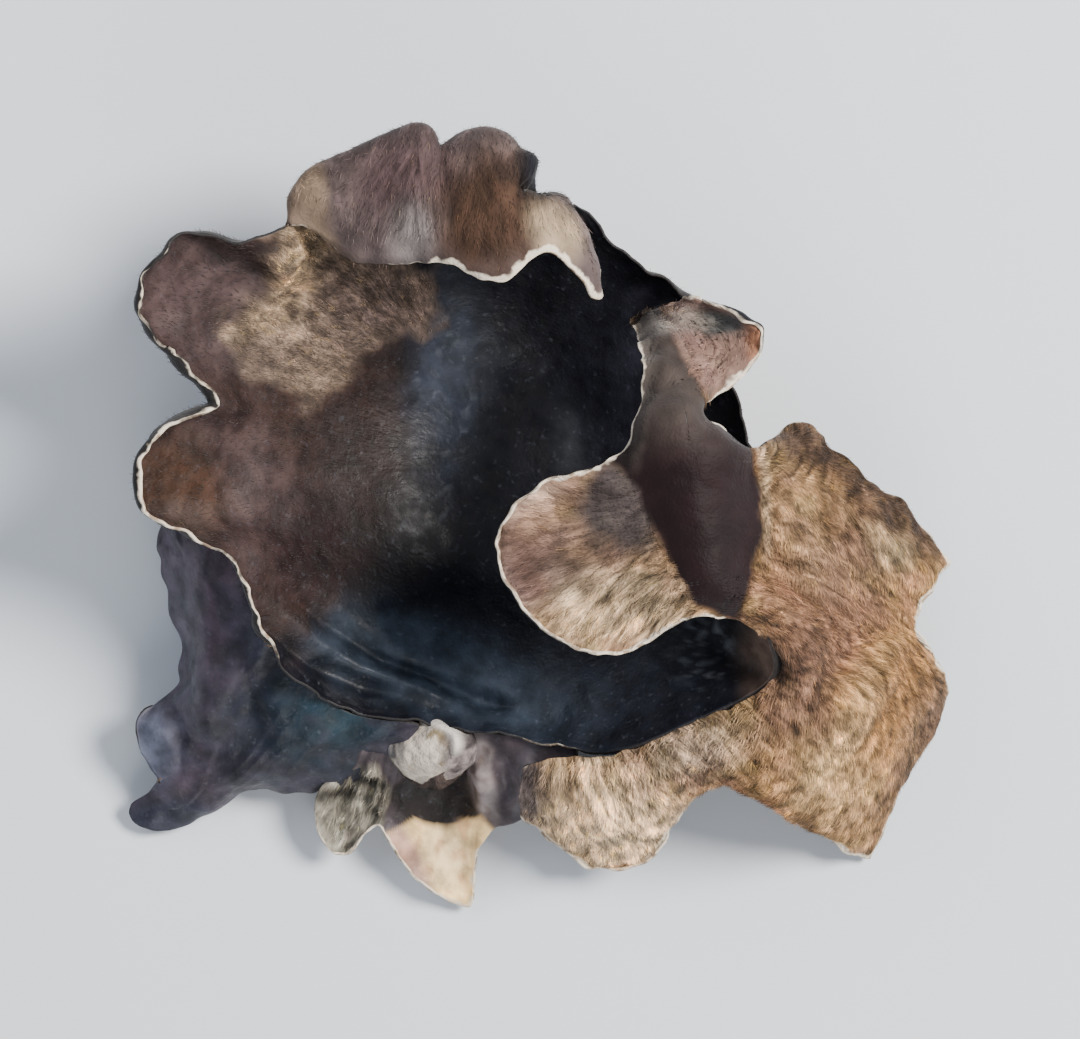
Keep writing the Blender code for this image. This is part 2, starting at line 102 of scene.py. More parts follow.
# Between the two edges: the round lobe's dish, the smooth ridge beside it, the valley, the slope.
FLAP_INSIDE = {
    2: [(10.8, 15.8, 21.6), (12.0, 16.4, 21.4), (13.3, 17.1, 21.0), (14.5, 17.9, 20.8),
        (15.8, 18.9, 21.0)],
    3: [(11.2, 13.8, 24.0), (13.0, 14.8, 23.0), (14.8, 15.8, 21.4), (16.6, 16.8, 20.4),
        (18.5, 17.8, 20.8)],
    4: [(11.6, 13.0, 24.6), (13.8, 13.9, 23.2), (16.0, 14.8, 21.4), (18.2, 15.6, 20.6),
        (20.2, 16.2, 21.0)],
    5: [(11.0, 11.3, 25.6), (12.8, 11.7, 25.0), (14.6, 12.1, 23.8), (16.4, 12.5, 22.2),
        (18.2, 12.8, 21.4)],
    6: [(10.3, 9.7, 26.6), (11.3, 9.9, 27.2), (12.4, 10.0, 27.3), (13.4, 10.1, 26.6),
        (14.3, 10.2, 25.2)],
    8: [(8.8, 5.8, 26.6), (10.4, 5.8, 27.6), (14.0, 5.8, 28.4), (17.2, 5.8, 26.6),
        (18.5, 5.8, 24.4)],
    9: [(6.8, 3.8, 25.6), (10.0, 4.3, 27.3), (14.4, 4.6, 28.7), (18.8, 5.0, 24.8),
        (20.6, 6.2, 22.4)],
    10: [(4.0, 2.2, 24.4), (9.4, 2.6, 26.8), (14.8, 3.0, 28.9), (19.4, 3.6, 22.8),
         (22.8, 5.4, 20.4)],
    12: [(3.0, -0.8, 23.2), (9.9, 0.8, 26.6), (15.6, 1.0, 29.0), (19.8, 1.2, 22.4),
         (25.5, 2.2, 21.6)],
    14: [(5.4, -6.0, 23.2), (11.3, -2.2, 26.6), (16.0, -2.0, 28.8), (20.0, -2.0, 22.4),
         (27.5, -3.0, 21.2)],
    16: [(10.4, -8.6, 24.8), (13.2, -5.6, 26.8), (16.4, -5.2, 28.0), (19.5, -5.2, 23.2),
         (27.2, -7.4, 20.8)],
    18: [(16.6, -7.2, 26.8), (17.8, -6.6, 26.8), (19.2, -6.4, 25.6), (21.4, -7.0, 23.8),
         (28.2, -9.8, 19.0)],
    19: [(20.6, -8.6, 24.6), (22.2, -8.6, 24.2), (24.4, -9.6, 22.8), (27.4, -11.4, 20.0),
         (32.2, -14.2, 13.4)],
    20: [(23.8, -13.4, 22.4), (25.6, -14.4, 21.6), (27.8, -15.6, 19.4), (30.2, -17.0, 15.6),
         (33.3, -18.8, 9.6)],
    22: [(19.8, -18.9, 20.4), (21.8, -21.0, 19.4), (24.0, -23.4, 16.8), (26.4, -26.0, 12.6),
         (28.8, -28.6, 7.4)],
    25: [(11.9, -20.2, 18.3), (13.0, -20.9, 18.4), (14.2, -21.6, 17.8), (15.5, -22.4, 16.4),
         (16.8, -23.1, 14.2)],
    28: [(6.1, -23.2, 16.0), (6.8, -24.9, 15.6), (7.6, -26.7, 13.6), (8.5, -28.5, 10.4),
         (9.3, -29.9, 7.2)],
}


def pushed_out(points, closed, pointed=()):
    """Cage points whose smoothed curve passes through the given ones."""
    points = np.asarray(points, float)
    count = len(points)
    weights = np.zeros((count, count))
    for row in range(count):
        pull = 1.0 - POINT_SHARPNESS if row in pointed else 1.0
        weights[row, row] += 1.0 - pull / 3.0
        weights[row, (row + 1) % count] += pull / 6.0
        weights[row, row - 1] += pull / 6.0
    if not closed:
        weights[0] = np.eye(count)[0]
        weights[-1] = np.eye(count)[-1]
    return np.linalg.solve(weights, points)


def open_cage(rows, pointed):
    inside = [np.asarray(row, float) for row in rows[1:-1]]
    return np.array([pushed_out(rows[0], False), *inside, pushed_out(rows[-1], False, pointed)])


def between_stations(given, count):
    """Rows given at a few stations only, filled in smoothly at every station."""
    known = sorted(given)
    values = np.array([given[station] for station in known], float)
    flat = values.reshape(len(known), -1)
    slopes = np.gradient(flat, known, axis=0)
    filled = []
    for station in range(count):
        after = int(np.clip(np.searchsorted(known, station), 1, len(known) - 1))
        start, end = known[after - 1], known[after]
        span = end - start
        t = (station - start) / span
        filled.append(
            (2 * t**3 - 3 * t**2 + 1) * flat[after - 1]
            + (t**3 - 2 * t**2 + t) * span * slopes[after - 1]
            + (3 * t**2 - 2 * t**3) * flat[after]
            + (t**3 - t**2) * span * slopes[after]
        )
    return np.array(filled).reshape(count, *values.shape[1:])


def keep(mesh, name, values):
    """Stores one number, vector or colour for each vertex, for the finish to read."""
    values = np.asarray(values, np.float32)
    kind = "FLOAT" if values.ndim == 1 else "FLOAT_VECTOR"
    attribute = mesh.attributes.get(name) or mesh.attributes.new(name, kind, "POINT")
    attribute.data.foreach_set("value" if values.ndim == 1 else "vector", values.ravel())


def kept(mesh, name):
    attribute = mesh.attributes[name]
    wide = 1 if attribute.data_type == "FLOAT" else 3
    values = np.empty(len(mesh.vertices) * wide, np.float32)
    attribute.data.foreach_get("value" if wide == 1 else "vector", values)
    return values if wide == 1 else values.reshape(-1, 3)


def evaluated_mesh(obj):
    bpy.context.view_layer.update()
    return bpy.data.meshes.new_from_object(
        obj.evaluated_get(bpy.context.evaluated_depsgraph_get())
    )


FELT_TURN = 74.0
TURNED_ALONG = 0.5
TURNED_ACROSS = 1.9
ROUND_SHARE = 0.65


def grown_sheet(name, cage, closed, pointed, margins, joined=None, turned=0.0, pivot=0):
    """The lobe's smooth face: its cage subdivided finely.

    margins gives, for the last row and for the first one if it is free, how pale the margin is and
    how far it curls. joined gives the stations of a row that have grown together with another
    lobe. Felt lies from row to row where turned is 0, and nearly along the margin where it is 1.
    Kept at each vertex: lay, the millimetres along the sheet from the pivot station (round a
    circle where the sheet closes) and across it; comb, the way the felt lies; outward, the way to
    the nearest free margin; pale, curl and held, which is 1 where lobes have grown together.
    """
    row_count, station_count = cage.shape[:2]
    faces = []
    for row in range(row_count - 1):
        for station in range(station_count if closed else station_count - 1):
            following = (station + 1) % station_count
            faces.append((
                row * station_count + station,
                (row + 1) * station_count + station,
                (row + 1) * station_count + following,
                row * station_count + following,
            ))
    if closed:
        faces.append(tuple(range(station_count)))
    across = np.zeros((row_count, station_count))
    across[1:] = np.cumsum(np.linalg.norm(np.diff(cage, axis=0), axis=2), axis=0)
    steps = np.linalg.norm(np.roll(cage, -1, axis=1) - cage, axis=2).mean(axis=0)
    along = np.concatenate([[0.0], np.cumsum(steps)[:-1]])
    lay = np.zeros_like(cage)
    lay[..., 2] = across
    if closed:
        radius = ROUND_SHARE * steps.sum() / math.tau
        lay[..., 0] = radius * np.cos(ROUND_SHARE * along / radius)
        lay[..., 1] = radius * np.sin(ROUND_SHARE * along / radius)
    else:
        lay[..., 0] = along - along[pivot]
    over, beside = (np.gradient(cage, axis=axis) for axis in (0, 1))
    over /= np.linalg.norm(over, axis=2, keepdims=True)
    beside /= np.linalg.norm(beside, axis=2, keepdims=True)
    turned = turned * np.ones((row_count, station_count))
    lay[..., 0] *= 1.0 + (TURNED_ALONG - 1.0) * turned
    lay[..., 2] *= 1.0 + (TURNED_ACROSS - 1.0) * turned
    turn = np.radians(FELT_TURN) * turned[..., None]
    comb = over * np.cos(turn) + beside * np.sin(turn)
    pale, curl, held = np.zeros((3, row_count, station_count))
    for row, stations in (joined or {}).items():
        held[row, list(stations)] = 1.0
    for row, (row_pale, row_curl) in margins.items():
        pale[row], curl[row] = row_pale, row_curl
    outward = over.copy()
    if 0 in margins:
        outward[: row_count // 2] *= -1.0
    mesh = bpy.data.meshes.new(name)
    placed = (cage.reshape(-1, 3) + CAGE_TO_FRAME) * MM
    mesh.from_pydata([tuple(point) for point in placed], [], faces)
    for what, values in (("lay", lay), ("comb", comb), ("outward", outward)):
        keep(mesh, what, values.reshape(-1, 3))
    for what, values in (("pale", pale), ("curl", curl), ("held", held)):
        keep(mesh, what, values.ravel())
    sharp = np.zeros((row_count, station_count))
    sharp[-1, list(pointed)] = POINT_SHARPNESS
    keep(mesh, "crease_vert", sharp.ravel())
    cage_object = bpy.data.objects.new(name, mesh)
    bpy.context.scene.collection.objects.link(cage_object)
    smooth = cage_object.modifiers.new("Smooth", "SUBSURF")
    smooth.levels = DENSE_LEVELS
    smooth.render_levels = DENSE_LEVELS
    smooth.boundary_smooth = "ALL"
    dense = evaluated_mesh(cage_object)
    bpy.data.objects.remove(cage_object)
    return dense


def corners_of(mesh):
    """Vertex places and normals, in millimetres of the cages' frame."""
    places = np.empty(len(mesh.vertices) * 3, np.float32)
    mesh.vertices.foreach_get("co", places)
    normals = np.empty(len(mesh.vertices) * 3, np.float32)
    mesh.vertex_normals.foreach_get("vector", normals)
    return places.reshape(-1, 3) / MM - np.array(CAGE_TO_FRAME), normals.reshape(-1, 3)


def move_corners(mesh, places):
    moved = ((places + np.array(CAGE_TO_FRAME)) * MM).astype(np.float32)
    mesh.vertices.foreach_set("co", moved.ravel())
    mesh.update()


SEED_STEP = 17.3


def rough(places, size, seed):
    """Smooth noise between about -1 and 1, with lumps of that size in millimetres."""
    stretched = np.asarray(places, float) / size + seed * SEED_STEP
    return np.array([noise.noise(point) for point in stretched])


def eased_step(value, start, end):
    share = np.clip((value - start) / (end - start), 0.0, 1.0)
    return share * share * (3 - 2 * share)


# Millimetres, apart from the stretches, the sharpness and the ruffle's and the zones' rises.
PALE_WIDTH = 0.9
CURL_REACH = 2.4
CURL_RISE = 1.6
CURL_BACK = 2.6
CURL_PLACE = 1.3
CURL_SPREAD = 5.0
RUFFLE_SIZE = 2.6
RUFFLE_RISE = 1.6
RUFFLE_REACH = 3.0
NICK_SIZE = 1.3
NICK_REACH = 1.8
RIDGE_STRETCH = (1.0, 1.0, 0.22)
RIDGE_SHARPNESS = 3.2
ZONE_STRETCH = (0.28, 0.28, 1.0)
ZONE_SIZE = 1.7
ZONE_RISE = 1.8
GRAIN_SIZE = 1.2
CREST_REACH = 2.5
SWELL_SIZE = 5.5
SWELL_REACH = 4.0


def dried(mesh, seed, ruffle=0.55, nick=0.35, wrinkle=0.16, veins=1.5, zones=0.0, swell=0.3,
          grain=0.1):
    """Wrinkles the sheet as drying does, and gives back where its vertices were before.

    ruffle lifts the margin in short waves, nick frays its outline, wrinkle runs across the sheet
    in fine ridges that are veins millimetres apart, zones are folds along the margin, and swell
    is a broad unevenness and grain a fine one. A curl of 1 rolls the margin over towards the
    smooth face, and one of -1 towards the felted face. Kept at each vertex: edge, the millimetres
    to the margin; rim, the same but longer where the margin isn't pale; and crest, how far the
    place stands out from its surroundings.
    """
    places, normals = corners_of(mesh)
    corner_edges = np.empty(len(mesh.loops), np.int32)
    mesh.loops.foreach_get("edge_index", corner_edges)
    ends = np.empty(len(mesh.edges) * 2, np.int32)
    mesh.edges.foreach_get("vertices", ends)
    open_edges = np.bincount(corner_edges, minlength=len(mesh.edges)) == 1
    margin = np.unique(ends.reshape(-1, 2)[open_edges])
    tree = KDTree(len(margin))
    for number in margin:
        tree.insert(places[number], int(number))
    tree.balance()
    found = [tree.find(place) for place in places]
    at_edge = np.array([place for place, _, _ in found])
    away = np.array([distance for _, _, distance in found])
    pale = kept(mesh, "pale")[[number for _, number, _ in found]]
    keep(mesh, "edge", away)
    keep(mesh, "rim", away + PALE_WIDTH * (1.0 - pale))
    curl = kept(mesh, "curl")[[number for _, number, _ in found]]
    outward = kept(mesh, "outward").astype(float)
    outward -= normals * (outward * normals).sum(axis=1, keepdims=True)
    outward /= np.maximum(np.linalg.norm(outward, axis=1, keepdims=True), 1e-6)
    lay = kept(mesh, "lay")
    ridges = 1.0 - np.abs(rough(lay * RIDGE_STRETCH, veins, seed + 1)) * RIDGE_SHARPNESS
    crest = wrinkle * ridges
    crest += zones * ZONE_RISE * rough(lay * ZONE_STRETCH, ZONE_SIZE, seed + 4)
    crest += grain * rough(places, GRAIN_SIZE, seed + 5)
    keep(mesh, "crest", crest)
    waves = ruffle * rough(at_edge, RUFFLE_SIZE, seed)
    offset = waves * RUFFLE_RISE * np.exp(-away / RUFFLE_REACH)
    offset += crest * eased_step(away, 0.0, CREST_REACH)
    offset += swell * rough(places, SWELL_SIZE, seed + 2) * eased_step(away, 0.0, SWELL_REACH)
    turn = np.clip(1.0 - away / CURL_REACH, 0.0, 1.0)
    offset += CURL_RISE * curl * turn**2
    reach = nick * rough(at_edge, NICK_SIZE, seed + 3) * np.clip(1 - away / NICK_REACH, 0, 1) ** 2
    rolled_out = CURL_PLACE * np.exp(-((away / CURL_SPREAD) ** 2))
    reach += np.abs(curl) * (rolled_out - CURL_BACK * turn**3)
    free = 1.0 - kept(mesh, "held")[:, None]
    move_corners(mesh, places + free * (normals * offset[:, None] + outward * reach[:, None]))
    return places


LEVEL_SLOPE = 0.3
EVENING = 0.9


def evened_round(mesh, share, times):
    """Evens out a closed sheet where share is 1, round its middle but not towards it."""
    places = corners_of(mesh)[0].astype(float)
    ends = np.empty(len(mesh.edges) * 2, np.int32)
    mesh.edges.foreach_get("vertices", ends)
    start, end = ends.reshape(-1, 2).T
    rise = np.abs(np.diff(kept(mesh, "lay")[:, 2][ends.reshape(-1, 2)], axis=1))[:, 0]
    length = np.linalg.norm(places[start] - places[end], axis=1)
    chosen = (rise < LEVEL_SLOPE * length) & (share[start] > 0.0)
    here = np.concatenate([start[chosen], end[chosen]])
    there = np.concatenate([end[chosen], start[chosen]])
    count = np.bincount(here, minlength=len(places))
    moving = (share * (count > 1))[:, None]
    for _ in range(times):
        sums = [np.bincount(here, places[there, axis], len(places)) for axis in range(3)]
        middle = np.column_stack(sums) / np.maximum(count, 1)[:, None]
        places += EVENING * moving * (middle - places)
    move_corners(mesh, places)


def surface_of(mesh):
    return BVHTree.FromPolygons(
        [vertex.co.copy() for vertex in mesh.vertices],
        [tuple(polygon.vertices) for polygon in mesh.polygons],
    )


# A fold fades out over so many of its widths, or over its length divided by so much if shorter.
FADE_WIDTHS = 6
FADE_PARTS = 2.5


def pressed(mesh, folds):
    """Presses folds away from the smooth face: each a depth, a width and a line from above, along
    which it deepens from nothing and fades out again."""
    places, normals = corners_of(mesh)
    for depth, width, line in folds:
        start, end = np.array(line[:-1]), np.array(line[1:])
        from_start = places[:, None, :2] - start
        leg = end - start
        length = np.linalg.norm(leg, axis=1)
        share = np.clip((from_start * leg).sum(2) / length**2, 0, 1)
        from_legs = np.linalg.norm(from_start - share[..., None] * leg, axis=2)
        nearest = from_legs.argmin(axis=1)
        run = (np.cumsum(length) - length)[nearest]
        run += np.take_along_axis(share * length, nearest[:, None], 1)[:, 0]
        whole = length.sum()
        fade_length = min(FADE_WIDTHS * width, whole / FADE_PARTS)
        fade = eased_step(np.minimum(run, whole - run), 0.0, fade_length)
        away = from_legs.min(axis=1)
        places = places - normals * (depth * fade * np.exp(-((away / width) ** 2)))[:, None]
    move_corners(mesh, places)


SHEET_THICKNESS = 0.78
RIM_SHARE = 0.3
RIM_TAPER = 2.2


def thickened(name, mesh):
    """Gives the sheet its felted far face; its material slots are smooth face, felt and edge."""
    obj = bpy.data.objects.new(name, mesh)
    bpy.context.scene.collection.objects.link(obj)
    share = RIM_SHARE + (1 - RIM_SHARE) * eased_step(kept(mesh, "edge"), 0.0, RIM_TAPER)
    share = np.maximum(share, kept(mesh, "held"))
    group = obj.vertex_groups.new(name="thickness")
    for number, weight in enumerate(share):
        group.add([number], float(weight), "REPLACE")
    for material in (SMOOTH_FACE, FELTED_FACE, BROKEN_EDGE):
        mesh.materials.append(material)
    wall = obj.modifiers.new("Wall", "SOLIDIFY")
    wall.thickness = SHEET_THICKNESS * MM
    wall.offset = -1.0
    wall.use_even_offset = False
    wall.vertex_group = group.name
    wall.material_offset = 1
    wall.material_offset_rim = 2
    solid = evaluated_mesh(obj)
    obj.modifiers.clear()
    obj.vertex_groups.clear()
    obj.data = solid
    solid.shade_smooth()
    return obj


OVAL_LUMPS = 2.4
OVAL_SEED = 40
OUTLINE_LUMPS = 2.0
OUTLINE_SEED = 50


def oval(places, centre, radii, turn=0.0, soft=0.35, broken=0.25, seed=0):
    """1 inside an oval seen from above and 0 outside, with a soft and broken edge."""
    away = places[:, :2] - centre
    c, s = math.cos(math.radians(turn)), math.sin(math.radians(turn))
    turned = np.column_stack([away[:, 0] * c + away[:, 1] * s, away[:, 1] * c - away[:, 0] * s])
    reach = np.linalg.norm(turned / radii, axis=1)
    reach = reach + broken * rough(places, OVAL_LUMPS, seed + OVAL_SEED)
    return 1.0 - eased_step(reach, 1.0 - soft, 1.0 + soft)


def inside(places, outline, soft=1.2, broken=0.5, seed=0):
    """1 inside an outline seen from above and 0 outside, with a soft edge in millimetres."""
    start = np.array(outline, float)
    end = np.roll(start, -1, axis=0)
    x, y = places[:, :1], places[:, 1:2]
    leg = end - start
    from_start = places[:, None, :2] - start
    share = np.clip((from_start * leg).sum(2) / (leg**2).sum(1), 0, 1)
    away = np.linalg.norm(from_start - share[..., None] * leg, axis=2).min(axis=1)
    spans = (start[:, 1] > y) != (end[:, 1] > y)
    level = np.where(leg[:, 1] == 0, 1e-9, leg[:, 1])
    crossed = spans & (x < start[:, 0] + leg[:, 0] * (y - start[:, 1]) / level)
    signed = np.where(crossed.sum(1) % 2 == 1, away, -away)
    signed = signed + broken * rough(places, OUTLINE_LUMPS, seed + OUTLINE_SEED)
    return eased_step(signed, -soft / 2, soft / 2)


def tinted(base, layers):
    """A base colour for each vertex with further colours laid over it, each with its cover."""
    colours = np.array(base, float) * np.ones((len(layers[0][1]), 1))
    for colour, cover in layers:
        colours += (np.array(colour) - colours) * cover[:, None]
    return colours


class Finish:
    """A material in the making. Each call adds one node and gives back its output."""

    def __init__(self, name, roughness, sheen=0.0, specular=0.5):
        self.material = bpy.data.materials.new(name)
        self.material.use_nodes = True
        self.nodes = self.material.node_tree.nodes
        self.links = self.material.node_tree.links
        self.shader = self.nodes["Principled BSDF"]
        for socket, value in (
            ("Roughness", roughness), ("Sheen Weight", sheen), ("Specular IOR Level", specular),
        ):
            self.shader.inputs[socket].default_value = value

    def add(self, kind, inputs, output=0, **settings):
        node = self.nodes.new(kind)
        for name, value in settings.items():
            setattr(node, name, value)
        for socket, value in inputs.items():
            if isinstance(value, bpy.types.NodeSocket):
                self.links.new(value, node.inputs[socket])
            else:
                node.inputs[socket].default_value = value
        return node.outputs[output]

    def kept(self, name, output="Fac"):
        return self.add("ShaderNodeAttribute", {}, output, attribute_name=name)

    def noise(self, size, detail=2.0, stretch=None, offset=0.0):
        """Noise with lumps of that size in mm: on the object's own axes, or stretched along the
        way the felt lies."""
        if stretch is None:
            where = self.add("ShaderNodeTexCoord", {}, "Object")
            scale = (1 / (size * MM),) * 3
        else:
            where = self.kept("lay", "Vector")
            scale = (1 / size, 1 / size, 1 / (size * stretch))
        where = self.add(
            "ShaderNodeMapping", {"Vector": where, "Scale": scale, "Location": (offset,) * 3}
        )
        return self.add(
            "ShaderNodeTexNoise", {"Vector": where, "Scale": 1.0, "Detail": detail}, "Fac"
        )

    def span(self, value, low, high, out_low=0.0, out_high=1.0):
        return self.add("ShaderNodeMapRange", {
            "Value": value, "From Min": low, "From Max": high, "To Min": out_low,
            "To Max": out_high,
        }, interpolation_type="SMOOTHSTEP")

    def maths(self, operation, first, second):
        return self.add("ShaderNodeMath", {0: first, 1: second}, operation=operation)

    def blend(self, factor, first, second, blend_type="MIX"):
        return self.add(
            "ShaderNodeMix", {0: factor, 6: first, 7: second}, 2,
            data_type="RGBA", blend_type=blend_type,
        )

    def raise_by(self, height, depth, below=None):
        inputs = {"Height": height, "Distance": depth * MM, "Strength": 1.0}
        if below is not None:
            inputs["Normal"] = below
        return self.add("ShaderNodeBump", inputs)

    def wear(self, **sockets):
        for name, value in sockets.items():
            self.links.new(value, self.shader.inputs[name.replace("_", " ")])


CREAM = (0.86, 0.75, 0.60, 1.0)
SPORE_DUST = (0.22, 0.24, 0.30, 1.0)


def smooth_face_finish():
    """The fertile face: satin, nearly black where thick, dusted with spores, finely wrinkled."""
    finish = Finish("smooth_dark_face", 0.5, specular=0.3)
    mottle = finish.span(finish.noise(2.2, 4.0), 0.3, 0.72, 0.62, 1.5)
    colour = finish.blend(1.0, finish.kept("tint", "Color"), mottle, "MULTIPLY")
    specks = finish.span(finish.noise(0.6, 3.0), 0.58, 0.80, 0.0, 0.14)
    felt = finish.kept("felt")
    bare = finish.maths("SUBTRACT", 1.0, felt)
    colour = finish.blend(finish.maths("MULTIPLY", specks, bare), colour, SPORE_DUST)
    strands = finish.noise(0.42, 5.0, stretch=4.0, offset=3.0)
    dark_strands = finish.span(strands, 0.36, 0.66, 0.6, 1.35)
    felted = finish.blend(1.0, colour, dark_strands, "MULTIPLY")
    colour = finish.blend(felt, colour, felted)
    ragged = finish.maths("ADD", finish.kept("rim"), finish.span(finish.noise(1.5), 0, 1, -.3, .3))
    worn = finish.span(finish.noise(0.8, 3.0, offset=7.0), 0.35, 0.6, 0.35, 1.0)
    line = finish.maths("MULTIPLY", finish.span(ragged, 0.15, 0.4, 1.0, 0.0), worn)
    colour = finish.blend(line, colour, CREAM)
    uneven = finish.span(finish.noise(1.4, 3.0, offset=9.0), 0.3, 0.7, 0.4, 0.6)
    roughness = finish.maths("ADD", uneven, finish.maths("MULTIPLY", felt, 0.3))
    wrinkles = finish.raise_by(finish.noise(1.3, 3.0, offset=6.0), 0.08)
    grain = finish.raise_by(finish.noise(0.35, 4.0), 0.045, wrinkles)
    matted = finish.raise_by(finish.maths("MULTIPLY", strands, felt), 0.5, grain)
    finish.wear(Base_Color=colour, Roughness=roughness, Normal=matted)
    return finish.material


def felted_face_finish():
    """The outer face: short matted hairs in streaks, bare and satin where they have worn off."""
    finish = Finish("felted_face", 0.9, sheen=0.1, specular=0.13)
    felt = finish.kept("felt")
    strands = finish.noise(0.5, 6.0, stretch=6.0)
    tufts = finish.noise(1.0, 3.0, stretch=2.4, offset=5.0)
    streaks = finish.blend(
        1.0,
        finish.span(strands, 0.36, 0.66, 0.42, 1.6),
        finish.span(tufts, 0.3, 0.72, 0.65, 1.3),
        "MULTIPLY",
    )
    tint = finish.kept("tint", "Color")
    colour = finish.blend(felt, tint, finish.blend(1.0, tint, streaks, "MULTIPLY"))
    blotch = finish.span(finish.noise(3.0, 3.0, offset=2.0), 0.3, 0.7, 0.75, 1.25)
    colour = finish.blend(1.0, colour, blotch, "MULTIPLY")
    ragged = finish.maths("ADD", finish.kept("rim"), finish.span(finish.noise(1.2), 0, 1, -.4, .4))
    colour = finish.blend(finish.span(ragged, 0.3, 0.65, 1.0, 0.0), colour, CREAM)
    roughness = finish.span(felt, 0.0, 1.0, 0.58, 0.92)
    matted = finish.raise_by(finish.maths("MULTIPLY", strands, felt), 0.6)
    lumps = finish.raise_by(finish.maths("MULTIPLY", tufts, felt), 0.55, matted)
    grain = finish.raise_by(finish.noise(0.3, 3.0), 0.08, lumps)
    finish.wear(Base_Color=colour, Roughness=roughness, Normal=grain)
    return finish.material


def broken_edge_finish():
    """The pale flesh along the margin, dark where the edge is grown over."""
    finish = Finish("broken_edge", 0.7)
    pale = finish.blend(
        finish.span(finish.noise(0.9, 3.0), 0.4, 0.62), CREAM, (0.34, 0.24, 0.16, 1.0)
    )
    ragged = finish.maths("ADD", finish.kept("rim"), finish.span(finish.noise(1.2), 0, 1, -.2, .2))
    colour = finish.blend(finish.span(ragged, 0.15, 0.5), pale, (0.014, 0.011, 0.011, 1.0))
    finish.wear(Base_Color=colour, Normal=finish.raise_by(finish.noise(0.35, 3.0), 0.12))
    return finish.material


SMOOTH_FACE = smooth_face_finish()
FELTED_FACE = felted_face_finish()
BROKEN_EDGE = broken_edge_finish()
CREST_LIGHT = 1.1
MOTTLE = 0.75
MOTTLE_STRETCH = (1.0, 1.0, 0.5)
FINE_MOTTLE = 0.9
BROAD_MOTTLE = 2.1
LIT_AND_RUBBED_LIMITS = (0.4, 1.9)
SHADED_AND_WORN_LIMITS = (0.3, 2.0)


def paint(obj, smooth_tint, smooth_felt, felted_tint, felted_felt):
    """Keeps each face's colours and how felted it is; the felted face's corners come second.

    What stands out is painted paler, partly as rubbing and partly as painted light, and what lies
    deep is darker as painted shade; felt is mottled besides.
    """
    count = len(smooth_tint)
    crest, lay = kept(obj.data, "crest")[:count], kept(obj.data, "lay")[:count]
    fine_mottle = rough(lay * MOTTLE_STRETCH, FINE_MOTTLE, 70)
    mottle = MOTTLE * (fine_mottle + rough(lay, BROAD_MOTTLE, 71))
    # Smooth face: paler on crests, partly rubbed and partly painted light; darker in hollows as
    # painted shade.
    lit_and_rubbed = np.clip(1.0 + CREST_LIGHT * crest + 0.5 * mottle * smooth_felt, *LIT_AND_RUBBED_LIMITS)
    # Felted face: painted shade where it lies deep, paler where it stands out, with random mottle.
    worn = np.clip(1.0 - CREST_LIGHT * crest + mottle * felted_felt, *SHADED_AND_WORN_LIMITS)
    keep(obj.data, "tint", np.concatenate([
        smooth_tint * lit_and_rubbed[:, None], felted_tint * worn[:, None]
    ]))
    keep(obj.data, "felt", np.concatenate([smooth_felt, felted_felt]))


def settle(obj):
    """The finished lobe stands for the solid and rides with it."""
    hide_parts("wood_ear")
    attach(obj, "root")


def felt_hair_finish():
    """Short hairs, each of one shade, taken from the face that it grows on."""
    finish = Finish("felt_hair", 0.85, sheen=0.15, specular=0.25)
    shade = finish.span(finish.noise(0.06, 1.0, stretch=1.0), 0.3, 0.7, 0.4, 1.75)
    tuft = finish.span(finish.noise(0.7, 4.0, stretch=3.0, offset=8.0), 0.34, 0.66, 0.45, 1.6)
    colour = finish.blend(1.0, finish.kept("tint", "Color"), shade, "MULTIPLY")
    colour = finish.blend(1.0, colour, tuft, "MULTIPLY")
    straw = finish.span(finish.noise(0.5, 2.0, stretch=3.0, offset=12.0), 0.56, 0.7, 1.0, 1.5)
    warmth = finish.add("ShaderNodeCombineXYZ", {"X": straw, "Y": straw, "Z": 1.0})
    colour = finish.blend(1.0, colour, warmth, "MULTIPLY")
    fleck = finish.span(finish.noise(0.45, 3.0, stretch=2.5, offset=15.0), 0.56, 0.68, 0.0, 0.5)
    lighter = finish.blend(1.0, colour, (2.4, 2.2, 1.9, 1.0), "MULTIPLY")
    finish.wear(Base_Color=finish.blend(fleck, colour, lighter))
    return finish.material


# Hairs start so many pale widths in from the margin, and are all there at the second number.
BALD_RIM = 1.15
FULL_RIM = 1.8
TABLE_CLEARANCE = 0.8
SWIRL_SIZE = 2.2
SWIRL = 1.4
ASTRAY = 0.3
SHORTEST_HAIR = 0.6
LONGEST_HAIR = 1.3


